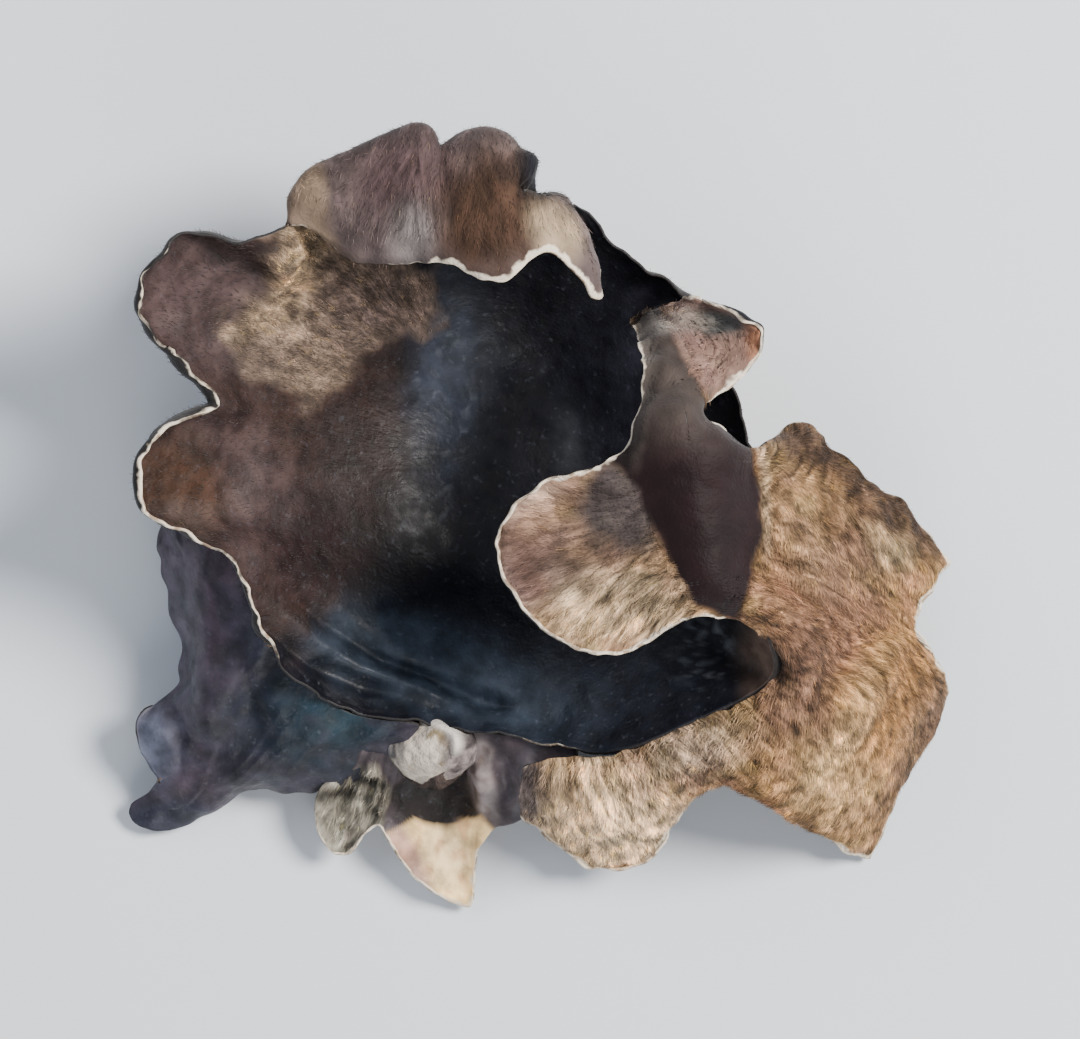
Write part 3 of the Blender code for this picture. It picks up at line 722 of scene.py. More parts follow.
def felt_hair_nodes():
    """Grows hairs over one face, where it is felted, lying the way its felt is combed."""
    group = bpy.data.node_groups.new("felt_hairs", "GeometryNodeTree")
    for name, kind in (
        ("Sheet", "Geometry"), ("Face", "Material"), ("Hair", "Material"),
        ("Hairs per square millimetre", "Float"), ("Length", "Float"), ("Width", "Float"),
        ("Rise", "Float"), ("Seed", "Int"),
    ):
        group.interface.new_socket(name, in_out="INPUT", socket_type="NodeSocket" + kind)
    group.interface.new_socket("Hairs", in_out="OUTPUT", socket_type="NodeSocketGeometry")
    given = group.nodes.new("NodeGroupInput").outputs

    def add(kind, inputs, output=0, **settings):
        node = group.nodes.new(kind)
        for name, value in settings.items():
            setattr(node, name, value)
        for socket, value in inputs.items():
            if isinstance(value, bpy.types.NodeSocket):
                group.links.new(value, node.inputs[socket])
            else:
                node.inputs[socket].default_value = value
        return node.outputs[output]

    def kept_value(name, kind="FLOAT"):
        return add("GeometryNodeInputNamedAttribute", {"Name": name}, data_type=kind)

    def product(first, second):
        return add("ShaderNodeMath", {0: first, 1: second}, operation="MULTIPLY")

    def vectors(operation, first, second=None, scale=None):
        inputs = {0: first}
        if second is not None:
            inputs[1] = second
        if scale is not None:
            inputs["Scale"] = scale
        return add("ShaderNodeVectorMath", inputs, operation=operation)

    height = add("ShaderNodeSeparateXYZ", {0: add("GeometryNodeInputPosition", {})}, "Z")
    above = add("ShaderNodeMath", {0: height, 1: TABLE_CLEARANCE * MM}, operation="GREATER_THAN")
    from_edge = add("ShaderNodeMapRange", {
        "Value": kept_value("rim"), "From Min": BALD_RIM * PALE_WIDTH,
        "From Max": FULL_RIM * PALE_WIDTH,
    })
    on_face = add("GeometryNodeMaterialSelection", {"Material": given["Face"]})
    cover = product(product(kept_value("felt"), on_face), product(above, from_edge))
    density = product(product(cover, given["Hairs per square millimetre"]), 1 / MM**2)
    scatter = group.nodes.new("GeometryNodeDistributePointsOnFaces")
    group.links.new(given["Sheet"], scatter.inputs["Mesh"])
    group.links.new(density, scatter.inputs["Density"])
    group.links.new(given["Seed"], scatter.inputs["Seed"])
    swirl = add("ShaderNodeTexNoise", {"Scale": 1 / (SWIRL_SIZE * MM), "Detail": 2.0}, "Color")
    swirl = vectors("SCALE", vectors("SUBTRACT", swirl, (0.5, 0.5, 0.5)), scale=SWIRL)
    astray = add("FunctionNodeRandomValue", {
        0: (-ASTRAY,) * 3, 1: (ASTRAY,) * 3, "Seed": 4,
    }, data_type="FLOAT_VECTOR")
    way = vectors("ADD", vectors("ADD", kept_value("comb", "FLOAT_VECTOR"), swirl), astray)
    normal = scatter.outputs["Normal"]
    inward = vectors("SCALE", normal, scale=add(
        "ShaderNodeVectorMath", {0: way, 1: normal}, "Value", operation="DOT_PRODUCT"
    ))
    flat = vectors("NORMALIZE", vectors("SUBTRACT", way, inward))
    leaning = vectors("ADD", flat, vectors("SCALE", normal, scale=given["Rise"]))
    turned = add("FunctionNodeAlignRotationToVector", {"Vector": leaning}, axis="Z")
    long = add("FunctionNodeRandomValue", {2: SHORTEST_HAIR, 3: LONGEST_HAIR, "Seed": 2}, 1)
    size = add("ShaderNodeCombineXYZ", {
        "X": given["Width"], "Y": given["Width"], "Z": product(given["Length"], long),
    })
    hair = add("GeometryNodeMeshCone", {
        "Vertices": 3, "Radius Top": 0.0, "Radius Bottom": 0.5 * MM, "Depth": MM,
    }, fill_type="NGON")
    hairs = add("GeometryNodeInstanceOnPoints", {
        "Points": scatter.outputs["Points"], "Instance": hair, "Rotation": turned, "Scale": size,
    })
    hairs = add("GeometryNodeRealizeInstances", {"Geometry": hairs})
    hairs = add("GeometryNodeSetMaterial", {"Geometry": hairs, "Material": given["Hair"]})
    output = group.nodes.new("NodeGroupOutput")
    group.links.new(hairs, output.inputs["Hairs"])
    return group


FELT_HAIR = felt_hair_finish()
FELT_HAIRS = felt_hair_nodes()
HAIR_LENGTH = 0.75
HAIR_WIDTH = 0.055
HAIR_RISE = 0.32


def combed_felt(name, sheet, face, density, seed):
    """A plain mesh of hairs on one face of a lobe; density is in hairs a square millimetre."""
    obj = bpy.data.objects.new(name, sheet.data)
    bpy.context.scene.collection.objects.link(obj)
    growth = obj.modifiers.new("Felt", "NODES")
    growth.node_group = FELT_HAIRS
    values = {
        "Face": face, "Hair": FELT_HAIR, "Hairs per square millimetre": density,
        "Length": HAIR_LENGTH, "Width": HAIR_WIDTH, "Rise": HAIR_RISE, "Seed": seed,
    }
    for socket in FELT_HAIRS.interface.items_tree:
        if socket.name in values:
            growth[socket.identifier] = values[socket.name]
    hairs = evaluated_mesh(obj)
    obj.modifiers.clear()
    obj.data = hairs
    for unused in ("comb", "outward", "pale", "curl", "edge", "rim", "felt"):
        if unused in hairs.attributes:
            hairs.attributes.remove(hairs.attributes[unused])
    return obj


# On the flap a fold's depth raises the felted face, since its smooth face looks down.
FLAP_FOLDS = [
    (1.1, 1.6, [(34.8, -9.6), (31.5, -13.0), (29.0, -16.0), (26.4, -21.0)]),
    (-0.9, 1.8, [(31.0, -8.6), (28.2, -12.0), (25.4, -16.0), (22.0, -19.6)]),
    (0.7, 1.2, [(20.6, 4.6), (22.4, 0.0), (24.0, -5.0), (26.6, -9.0)]),
    (-0.5, 1.0, [(24.4, 3.6), (26.0, -1.4), (28.4, -5.0)]),
    (0.6, 1.2, [(28.6, 2.6), (31.0, -2.4), (34.6, -5.0)]),
    (0.6, 1.4, [(8.0, -24.0), (6.6, -27.0), (6.0, -30.0)]),
]
TAN_FELT = (0.36, 0.205, 0.095)
PALE_FELT = (0.74, 0.54, 0.34)
BROWN_FELT = (0.068, 0.042, 0.029)
BARE_PLUM = (0.010, 0.0032, 0.0042)
BLUE_BLACK = (0.003, 0.003, 0.006)
BARE_RIDGE = [
    (9.6, 18.0), (7.9, 11.0), (7.0, 5.0), (8.6, 4.0), (10.0, 1.0), (12.0, -3.0), (14.5, -7.5),
    (18.2, -9.4), (20.0, -2.0), (20.0, 2.0), (19.2, 6.2), (15.2, 10.4), (13.0, 14.0),
    (11.4, 18.6),
]


FLAP_INSIDE_ROWS = 5


def flap_rows():
    """The inner edge, the rows between, which are straight where none are given, and the margin."""
    count = len(FLAP_INNER)
    steps = range(1, FLAP_INSIDE_ROWS + 1)
    given = dict(FLAP_INSIDE)
    for station in (0, 1, count - 1):
        inner, outer = np.array(FLAP_INNER[station]), np.array(FLAP_OUTER[station])
        given[station] = [inner + (outer - inner) * step / (FLAP_INSIDE_ROWS + 1) for step in steps]
    filled = between_stations(given, count)
    return [FLAP_INNER, *[list(filled[:, row]) for row in range(FLAP_INSIDE_ROWS)], FLAP_OUTER]


flap_cage = open_cage(flap_rows(), FLAP_POINTS)
# The felt turns along the margin behind the ridge and at the right, and less so at the bottom.
FELT_PIVOT = 19
FELT_TURN_STATIONS = (18, 22, 25, 28)
FELT_TURN_SHARES = (1.0, 0.7, 0.5, 0.1)
flap_row_count, flap_station_count = flap_cage.shape[:2]
felt_turned = np.tile(
    np.interp(range(flap_station_count), FELT_TURN_STATIONS, FELT_TURN_SHARES), (flap_row_count, 1)
)
felt_turned[:3, :FELT_PIVOT] = 0.0
felt_turned[3, :FELT_PIVOT] = 0.5
flap_mesh = grown_sheet("flap_sheet", flap_cage, False, FLAP_POINTS, {
    0: (FLAP_INNER_PALE, -np.array(FLAP_INNER_CURL)),
    -1: (FLAP_OUTER_PALE, -np.array(FLAP_OUTER_CURL)),
}, turned=felt_turned, pivot=FELT_PIVOT)
bare = inside(corners_of(flap_mesh)[0], BARE_RIDGE, soft=0.9, broken=0.35)
pressed(flap_mesh, FLAP_FOLDS)
flap_places = dried(flap_mesh, seed=1, wrinkle=0.10 * (1 - bare), zones=0.1 * (1 - bare))
flap_surface = surface_of(flap_mesh)
flap = thickened("flap_sheet", flap_mesh)
ear = oval(flap_places, (17.0, 16.0), (6.5, 5.0), soft=0.2) * (flap_places[:, 1] > 9.0)
round_lobe = oval(flap_places, (2.0, -1.0), (6.5, 7.0), soft=0.6)
grey_spot = oval(flap_places, (7.8, 1.2), (4.2, 5.2), 30, soft=0.5, seed=10)
flap_felt = (1.0 - bare) * (1.0 - 0.75 * ear) * (1.0 - 0.45 * round_lobe)
flap_felt *= 1.0 - 0.6 * grey_spot
hue = eased_step(rough(flap_places, 3.2, 64), -0.15, 0.35)
flap_tint = tinted(TAN_FELT, [
    ((0.33, 0.175, 0.105), 0.7 * hue),
    ((0.30, 0.20, 0.075), 0.6 * eased_step(rough(flap_places, 2.4, 65), 0.0, 0.4)),
    # painted shade: the valley left of the fold, darker mauve brown
    ((0.21, 0.105, 0.066), 0.8 * oval(flap_places, (25.4, -9.0), (4.5, 8.5), 30, soft=0.7, seed=1)),
    ((0.34, 0.175, 0.062), 0.8 * oval(flap_places, (31.0, -16.5), (3.6, 9.5), -24, 0.6, seed=3)),
    ((0.46, 0.33, 0.18), 0.3 * oval(flap_places, (23.6, 0.0), (2.4, 6.0), 16, soft=0.8, seed=8)),
    ((0.52, 0.40, 0.24), 0.6 * oval(flap_places, (31.6, -2.4), (2.2, 1.6), -30, soft=0.7, seed=9)),
    # the bottom lobe's pale felt, painted paler still as painted light on its down-sloping face
    ((0.90, 0.68, 0.44), 0.92 * oval(flap_places, (5.8, -27.8), (6.6, 5.0), soft=0.7)),
    ((0.15, 0.118, 0.115), 0.9 * oval(flap_places, (-0.8, -25.0), (2.0, 3.4), soft=0.5)),
    ((0.52, 0.35, 0.18), 0.5 * oval(flap_places, (27.0, -24.5), (3.4, 5.0), soft=0.6, seed=4)),
    # painted highlight: a paler golden band along the fold's ridge
    ((0.55, 0.38, 0.19), 0.5 * oval(flap_places, (27.6, -19.0), (1.5, 7.5), -30, soft=0.7, seed=7)),
    ((0.18, 0.10, 0.054), 0.35 * oval(flap_places, (17.0, -20.0), (9.0, 2.8), 14, soft=0.7)),
    # painted shade: the darker valley beside the hollow
    ((0.14, 0.078, 0.052), 0.8 * oval(flap_places, (23.2, -14.6), (3.2, 5.4), 14, soft=0.7)),
    ((0.50, 0.40, 0.30), 0.5 * oval(flap_places, (14.5, -20.6), (4.5, 2.2), 14, soft=0.7)),
    # painted shade: darker brown where the margin turns down at the right
    ((0.12, 0.072, 0.045), 0.85 * oval(flap_places, (35.8, -20.0), (2.5, 9.0), -24, soft=0.6)),
    (BROWN_FELT, 0.97 * oval(flap_places, (24.6, 6.4), (4.8, 2.3), -8, soft=0.7, seed=5)),
    (BROWN_FELT, 0.97 * oval(flap_places, (30.8, 1.8), (5.8, 2.6), -36, soft=0.7, seed=2)),
    (BROWN_FELT, 0.85 * oval(flap_places, (35.4, -1.6), (2.6, 1.6), -50, soft=0.7, seed=6)),
    ((0.22, 0.13, 0.088), 0.5 * oval(flap_places, (27.5, -3.5), (3.0, 4.0), soft=0.8)),
    # a thin pale line down the ridge's right side: pale flesh, with a painted highlight on the
    # ridge
    ((0.52, 0.38, 0.24), 0.6 * oval(flap_places, (20.3, 2.2), (0.5, 5.0), 2, soft=0.5)),
    ((0.27, 0.165, 0.125), 0.95 * oval(flap_places, (-0.6, -2.5), (3.6, 6.0), soft=0.5)),
    ((0.48, 0.34, 0.27), 0.7 * oval(flap_places, (-0.2, 2.0), (3.4, 1.6), 14, soft=0.6)),
    ((0.17, 0.12, 0.11), 0.7 * oval(flap_places, (-1.6, -5.6), (1.8, 3.0), 20, soft=0.7)),
    ((0.080, 0.043, 0.034), 0.9 * oval(flap_places, (0.4, -4.6), (2.6, 4.4), 12, 0.7, broken=0.1)),
    ((0.40, 0.24, 0.15), 0.5 * oval(flap_places, (0.5, 0.4), (1.6, 1.8), soft=0.7)),
    ((0.068, 0.056, 0.056), 0.95 * grey_spot),
    ((0.13, 0.09, 0.072), 0.85 * oval(flap_places, (3.8, -4.6), (2.8, 3.0), soft=0.8)),
    ((0.56, 0.42, 0.27), 0.85 * oval(flap_places, (7.8, -7.9), (6.0, 3.2), 12, soft=0.6)),
    ((0.20, 0.125, 0.115), 0.8 * ear),
    ((0.05, 0.055, 0.055), 0.95 * oval(flap_places, (16.6, 17.4), (2.6, 1.4), 8, soft=0.5)),
    ((0.36, 0.15, 0.07), 0.7 * oval(flap_places, (20.4, 15.6), (1.4, 2.4), soft=0.6)),
    (BARE_PLUM, bare),
    ((0.055, 0.042, 0.036), 0.85 * bare * eased_step(flap_places[:, 1], 4.0, 11.0)),
    ((0.30, 0.25, 0.21), 0.8 * oval(flap_places, (11.4, 16.8), (3.4, 0.8), 6, soft=0.8)),
    ((0.16, 0.13, 0.11), 0.7 * oval(flap_places, (9.8, 12.0), (0.8, 5.0), -4, soft=0.8)),
])
brown_edge = oval(flap_places, (21.6, -12.6), (3.0, 3.6))
flap_under = tinted(BLUE_BLACK, [
    ((0.020, 0.014, 0.012), oval(flap_places, (26.0, -12.0), (14.0, 22.0))),
    (BROWN_FELT, 0.6 * brown_edge),
])
paint(flap, flap_under, brown_edge, flap_tint, flap_felt)
flap_hairs = combed_felt("flap_felt", flap, FELTED_FACE, density=26.0, seed=11)
for part in (flap, flap_hairs):
    settle(part)

# ---------------------------------------------------------------------------------------------
# The cup: the body of the fungus. Its smooth face lines it, brown at the left and blue black at the
# bottom, with dust and a painted bluish sheen and glints; its back margin is rolled in, so that
# the felted face shows there.
# ---------------------------------------------------------------------------------------------

CUP_FLOOR_CENTRE = (-3.0, 5.0)
CUP_FLOOR_RADII = (7.5, 9.0)
CUP_FLOOR_HEIGHT = 1.15
CUP_POINTS = (12, 13, 23)
CUP_PALE = [
    0.0, 0.0, 0.0, 0.0, 0.0, 0.0, 0.0, 0.1, 1.0, 1.0, 1.0, 1.0, 0.9, 0.3, 0.3, 0.35, 0.3, 0.25,
    0.25, 0.4, 0.5, 0.5, 0.6, 0.6, 0.7, 0.75, 0.8, 0.85, 0.85, 0.6, 0.6, 0.8, 0.2, 0.0, 0.0,
    0.2, 0.7, 0.0, 0.0, 0.0, 0.0, 0.0,
]
# How far the lip curls in over the cup, station by station.
CUP_CURL = [
    0.0, 0.1, 0.2, 0.3, 0.3, 0.2, 0.1, 0.0, 0.0, 0.0, 0.0, 0.0, 0.0, 0.0, 0.0, 0.0, 0.1, 0.3,
    0.3, 0.35, 0.4, 0.35, 0.6, 0.6, 0.4, 0.5, 0.5, 0.45, 0.3, 0.3, 0.4, 0.3, 0.1, 0.1, 0.1, 0.1,
    0.0, 0.0, 0.0, 0.0, 0.0, 0.0,
]
CUP_LIP = [
    (20.2, 1.0, 22.6), (20.0, 5.8, 19.2), (18.4, 11.0, 16.6), (16.8, 16.0, 14.5),
    (14.5, 20.3, 13.5), (10.5, 22.8, 14.5), (7.0, 25.1, 15.5), (3.4, 27.9, 17.5),
    (5.9, 20.0, 20.5), (1.8, 23.2, 23.5), (-1.2, 22.1, 24.2), (-4.2, 21.2, 24.4),
    (-7.6, 22.8, 24.0), (-12.0, 22.8, 22.6), (-16.5, 23.4, 22.2), (-20.6, 26.2, 23.0),
    (-23.8, 25.5, 24.2), (-27.4, 25.1, 25.0), (-31.5, 25.4, 26.0), (-34.5, 22.5, 26.4),
    (-35.9, 19.6, 26.0), (-34.9, 17.0, 25.0), (-32.3, 13.6, 23.2), (-29.3, 10.4, 21.2),
    (-33.2, 8.9, 23.0), (-35.3, 6.3, 24.4), (-35.9, 2.8, 24.6), (-35.1, 0.4, 23.6),
    (-32.0, -1.4, 22.0), (-28.2, -3.2, 20.2), (-26.2, -6.6, 18.6), (-24.7, -10.4, 16.6),
    (-22.3, -14.4, 14.0), (-17.5, -17.2, 11.6), (-11.0, -18.8, 10.6), (-4.5, -19.6, 11.0),
    (2.2, -20.8, 12.6), (8.2, -21.2, 15.4), (14.6, -17.8, 18.0), (20.6, -14.0, 20.0),
    (20.0, -8.6, 22.6), (20.4, -3.8, 23.0),
]
CUP_LIP_UNDER_FLAP = (37, 38, 39, 40, 41, 0)
# Where the lip is rolled in over the cup, the wall first rises to this crest.
CUP_CREST = {
    7: (2.6, 28.0, 17.0), 8: (2.4, 28.6, 20.0), 9: (-0.6, 30.6, 21.0), 10: (-2.2, 33.2, 21.6),
    11: (-5.4, 34.2, 22.0), 12: (-8.6, 32.9, 22.2), 13: (-10.2, 34.7, 23.2),
    14: (-15.2, 32.6, 22.6), 15: (-20.4, 29.8, 22.8),
}
CUP_WALL_STEPS = (0.0, 0.3, 0.6, 0.84)
CUP_WALL_EASINGS = (40, 20, 6, 0)
CUP_WALL_RISE = 1.35
JOIN_DEPTH = 0.4


def closed_cage(rows, pointed):
    along = [pushed_out(row, True) for row in rows[:-1]]
    along = np.array([*along, pushed_out(rows[-1], True, pointed)])
    across = [pushed_out(along[:, station], False) for station in range(along.shape[1])]
    return np.array(across).transpose(1, 0, 2)


def drawn_onto(points, surface, sunk):
    """Each point moved to the nearest place on a surface, and sunk into its thickness."""
    moved = []
    for point in points:
        place, normal, _, _ = surface.find_nearest((Vector(point) + CAGE_TO_FRAME) * MM)
        moved.append(tuple((place - normal * sunk * MM) / MM - CAGE_TO_FRAME))
    return moved


def eased(points, times):
    """A closed row of points, each moved towards its neighbours a number of times."""
    for _ in range(times):
        points = points / 2 + (np.roll(points, 1, axis=0) + np.roll(points, -1, axis=0)) / 4
    return points


def cup_rows(lip):
    """Rows from the floor's oval up to the lip; the lip's folds fade towards the floor."""
    crest = np.array([CUP_CREST.get(station, point) for station, point in enumerate(lip)])
    folded = np.array([station in CUP_CREST for station in range(len(lip))])
    towards = eased(crest, CUP_WALL_EASINGS[0])[:, :2] - CUP_FLOOR_CENTRE
    towards /= np.linalg.norm(towards, axis=1, keepdims=True)
    floor = np.column_stack([
        CUP_FLOOR_CENTRE + towards * CUP_FLOOR_RADII, np.full(len(lip), CUP_FLOOR_HEIGHT)
    ])
    rows = []
    for step, easings in zip(CUP_WALL_STEPS, CUP_WALL_EASINGS):
        top = eased(crest, easings)
        reach = np.where(folded, step / CUP_WALL_STEPS[-1], step)
        row = floor + (top - floor) * reach[:, None]
        row[:, 2] = floor[:, 2] + (top - floor)[:, 2] * reach**CUP_WALL_RISE
        rows.append(row)
    return [*rows, lip]


cup_lip = list(CUP_LIP)
hidden = [CUP_LIP[station] for station in CUP_LIP_UNDER_FLAP]
for station, point in zip(CUP_LIP_UNDER_FLAP, drawn_onto(hidden, flap_surface, JOIN_DEPTH)):
    cup_lip[station] = point
cup_cage = closed_cage(cup_rows(cup_lip), CUP_POINTS)
cup_mesh = grown_sheet("cup_sheet", cup_cage, True, CUP_POINTS, {
    -1: (CUP_PALE, CUP_CURL)
}, joined={-1: CUP_LIP_UNDER_FLAP})

# Folds pressed into the cup's front wall as it dried, then a knob and a nick of the back crest.
CUP_FOLDS = [
    (1.1, 0.7, [(-23.4, -5.6), (-18.6, -9.5), (-13.8, -12.9), (-9.5, -14.4), (-5.0, -16.4),
                (0.0, -17.8)]),
    (0.9, 0.6, [(-25.6, -7.4), (-23.6, -10.2), (-20.4, -13.2), (-16.6, -14.8), (-12.0, -16.4)]),
    (-0.7, 0.8, [(-24.6, -6.4), (-21.0, -10.6), (-16.2, -13.7), (-11.0, -15.6), (-5.6, -17.6)]),
    (-0.8, 1.2, [(-19.8, 29.0), (-21.0, 26.0), (-22.6, 22.6), (-25.0, 19.6), (-28.8, 16.4)]),
    (1.3, 0.8, [(-2.6, 31.4), (1.6, 32.0)]),
    (-1.5, 0.8, [(-3.0, 29.8), (2.2, 29.2)]),
]
# Millimetres from the floor's centre: where the evened floor ends, where the wall's wrinkles come
# in, and where the felt below comes back round the patch that it rests on.
EVENED_FLOOR = (12.0, 17.0)
EVENED_TIMES = 90
WRINKLED_WALL = (12.0, 26.0)
RESTING_PATCH = (8.5, 14.0)

pressed(cup_mesh, CUP_FOLDS)
cup_places = corners_of(cup_mesh)[0]
from_floor = np.linalg.norm(cup_places[:, :2] - CUP_FLOOR_CENTRE, axis=1)
evened_round(cup_mesh, 1.0 - eased_step(from_floor, *EVENED_FLOOR), EVENED_TIMES)
above_floor = eased_step(from_floor, *WRINKLED_WALL)
cup_places = dried(
    cup_mesh, seed=5, wrinkle=0.10 * above_floor, veins=2.2, grain=0.02 + 0.05 * above_floor
)
cup_surface = surface_of(cup_mesh)
cup = thickened("cup_sheet", cup_mesh)
GOLDEN_FELT = (0.28, 0.20, 0.145)
MAUVE_BROWN = (0.060, 0.038, 0.037)
OLIVE_BROWN = (0.024, 0.0135, 0.0112)
RED_BROWN = (0.008, 0.0022, 0.0028)
ORANGE_BROWN = (0.040, 0.019, 0.011)
MAUVE_FELT = (0.100, 0.073, 0.070)
BLOOM_AND_SHEEN = (0.027, 0.033, 0.050)
DUST_AND_GLINTS = (0.09, 0.10, 0.115)
GOLDEN_PATCH = [
    (-21.8, 31.0), (-19.2, 30.0), (-18.2, 23.0), (-10.0, 22.2), (-9.6, 18.4), (-15.6, 16.4),
    (-20.4, 11.2), (-24.6, 13.8), (-27.6, 17.2), (-23.4, 20.4),
]
BROWN_WALL = [
    (-40.0, 30.0), (-12.0, 30.0), (-10.0, 20.0), (-12.5, 14.0), (-13.0, 6.0), (-14.5, 0.0),
    (-17.0, -6.0), (-22.0, -12.0), (-40.0, -4.0),
]
ROLLED_TAN = [
    (-22.6, 32.0), (-19.0, 31.6), (-18.4, 26.4), (-17.0, 23.6), (-15.0, 21.4), (-21.0, 21.4),
    (-24.0, 26.0),
]
flecks = rough(cup_places, 0.8, 88)
golden = inside(cup_places, GOLDEN_PATCH, soft=3.4, broken=1.5)
brown = inside(cup_places, BROWN_WALL, soft=5.0, broken=1.6)
cup_tint = tinted(BLUE_BLACK, [
    # painted light: the back right wall, which lies in shade, lifted out of its blue black
    ((0.019, 0.019, 0.028), oval(cup_places, (9.0, 13.0), (5.5, 8.0), soft=0.8)),
    # bluish bloom with a painted satin sheen over it
    (BLOOM_AND_SHEEN, 0.9 * oval(cup_places, (-8.4, 14.6), (3.4, 7.6), 0, soft=0.9, broken=0.5)),
    ((0.036, 0.038, 0.042), 0.6 * oval(cup_places, (3.2, 6.8), (1.2, 3.4), 12, 0.6, broken=0.6)),
    # bluish bloom on the front wall, with a painted grey blue sheen
    ((0.036, 0.050, 0.072), 0.85 * oval(cup_places, (-10.0, -13.2), (13.0, 3.6), -22, soft=0.8)),
    ((0.012, 0.015, 0.024), 0.7 * oval(cup_places, (9.0, -14.6), (8.0, 4.0), soft=0.8)),
    # spore dust, standing partly for painted glints, here and two lines below
    (DUST_AND_GLINTS, 0.3 * eased_step(flecks, 0.2, 0.6) * oval(cup_places, (-10.6, 1.0), (2.8, 4.0))),
    # painted grey glints in the dark hollow, laid as dust
    (DUST_AND_GLINTS, 0.8 * eased_step(flecks, 0.0, 0.5) * oval(cup_places, (15.4, -11.8), (3.4, 3.0), 20)),
    (DUST_AND_GLINTS, 0.3 * eased_step(flecks, 0.2, 0.6) * oval(cup_places, (-8.4, 12.0), (3.0, 8.0))),
    ((0.10, 0.066, 0.050), 0.9 * oval(cup_places, (21.0, -12.4), (2.4, 4.0), soft=0.6)),
    (OLIVE_BROWN, brown),
    ((0.012, 0.006, 0.0055), 0.8 * oval(cup_places, (-15.5, 5.0), (4.0, 8.0), soft=0.8)),
    (MAUVE_BROWN, 0.9 * oval(cup_places, (-30.0, 19.0), (7.0, 6.5), 20, soft=0.5)),
    ((0.066, 0.042, 0.041), 0.7 * oval(cup_places, (-25.6, 2.0), (4.2, 8.0), 25, soft=0.6)),
    (RED_BROWN, 0.9 * oval(cup_places, (-19.5, -2.0), (4.5, 5.0), 30, soft=0.6)),
    (ORANGE_BROWN, 0.9 * oval(cup_places, (-31.2, 2.6), (3.4, 4.0), soft=0.6)),
    ((0.075, 0.051, 0.044), 0.7 * oval(cup_places, (-31.2, -0.4), (2.6, 1.6), -20, soft=0.7)),
    (GOLDEN_FELT, golden),
    ((0.15, 0.105, 0.10), 0.7 * golden * oval(cup_places, (-13.4, 19.0), (5.6, 4.2), soft=0.8)),
    # painted highlight: a pale ridge on the golden patch, lifting the shade under the rolled lip
    ((0.50, 0.36, 0.22), 0.75 * golden * oval(cup_places, (-21.2, 24.6), (1.8, 6.2), -12, 0.7)),
    ((0.46, 0.33, 0.20), 0.7 * golden * oval(cup_places, (-25.4, 18.0), (1.6, 4.0), -46, soft=0.7)),
    ((0.10, 0.068, 0.05), 0.8 * golden * eased_step(rough(cup_places, 1.5, 87), 0.1, 0.5)),
    ((0.12, 0.085, 0.068), 0.85 * golden * oval(cup_places, (-25.0, 15.0), (3.0, 2.2), soft=0.8)),
])
cup_smooth_felt = np.clip(golden + 0.15 * brown, 0, 1)
ROLLED_BACK = [
    (-21.5, 27.0), (-20.5, 22.5), (-8.0, 21.0), (7.0, 18.5), (8.0, 24.0), (3.0, 36.0),
    (-22.0, 37.0),
]
ROLLED_HEIGHT = (11.0, 18.0)
rolled = inside(cup_places, ROLLED_BACK, soft=2.0)
rolled *= eased_step(cup_places[:, 2] + rough(cup_places, 4.0, 66), *ROLLED_HEIGHT)
from_lip = kept(cup.data, "edge")[:len(cup_places)]
outer_tint = tinted((0.15, 0.093, 0.060), [
    (BROWN_FELT, 0.6 * oval(cup_places, (6.0, -4.0), (16.0, 16.0), soft=0.8)),
    (PALE_FELT, 0.25 * eased_step(rough(cup_places, 7.0, 67), 0.0, 0.4)),
    ((0.016, 0.014, 0.014), 1.0 - eased_step(from_lip, 1.4, 2.6)),
    (MAUVE_FELT, rolled),
    ((0.050, 0.026, 0.016), rolled * oval(cup_places, (-3.8, 27.0), (5.2, 6.0), soft=0.5)),
    ((0.060, 0.032, 0.034), 0.7 * rolled * oval(cup_places, (-11.6, 31.0), (4.6, 3.0), 30, 0.8)),
    ((0.22, 0.155, 0.105), 0.9 * rolled * inside(cup_places, ROLLED_TAN, soft=1.6)),
    ((0.42, 0.31, 0.20), 0.9 * rolled * oval(cup_places, (1.4, 25.6), (1.7, 2.6), 30, soft=0.6)),
    # painted highlight: a pale blue grey spot on the rolled margin
    ((0.19, 0.17, 0.165), 0.7 * rolled * oval(cup_places, (-10.8, 25.0), (1.8, 2.8), soft=0.7)),
    (BLUE_BLACK, rolled * oval(cup_places, (0.4, 30.4), (2.0, 2.8), soft=0.4)),
])
outer_felt = (1.0 - 0.6 * rolled) * eased_step(from_lip, 1.2, 3.0)
outer_felt *= eased_step(from_floor, *RESTING_PATCH)
paint(cup, cup_tint, cup_smooth_felt, outer_tint, outer_felt)
cup_hairs = combed_felt("cup_patch_felt", cup, SMOOTH_FACE, density=30.0, seed=21)
outer_hairs = combed_felt("cup_outer_felt", cup, FELTED_FACE, density=13.0, seed=22)
for part in (cup, cup_hairs, outer_hairs):
    settle(part)

# ---------------------------------------------------------------------------------------------
# The apron: a dark lobe that hangs below the cup's front left wall, smooth face up, with a round
# lobe and a hooked tip at its far corner.
# ---------------------------------------------------------------------------------------------

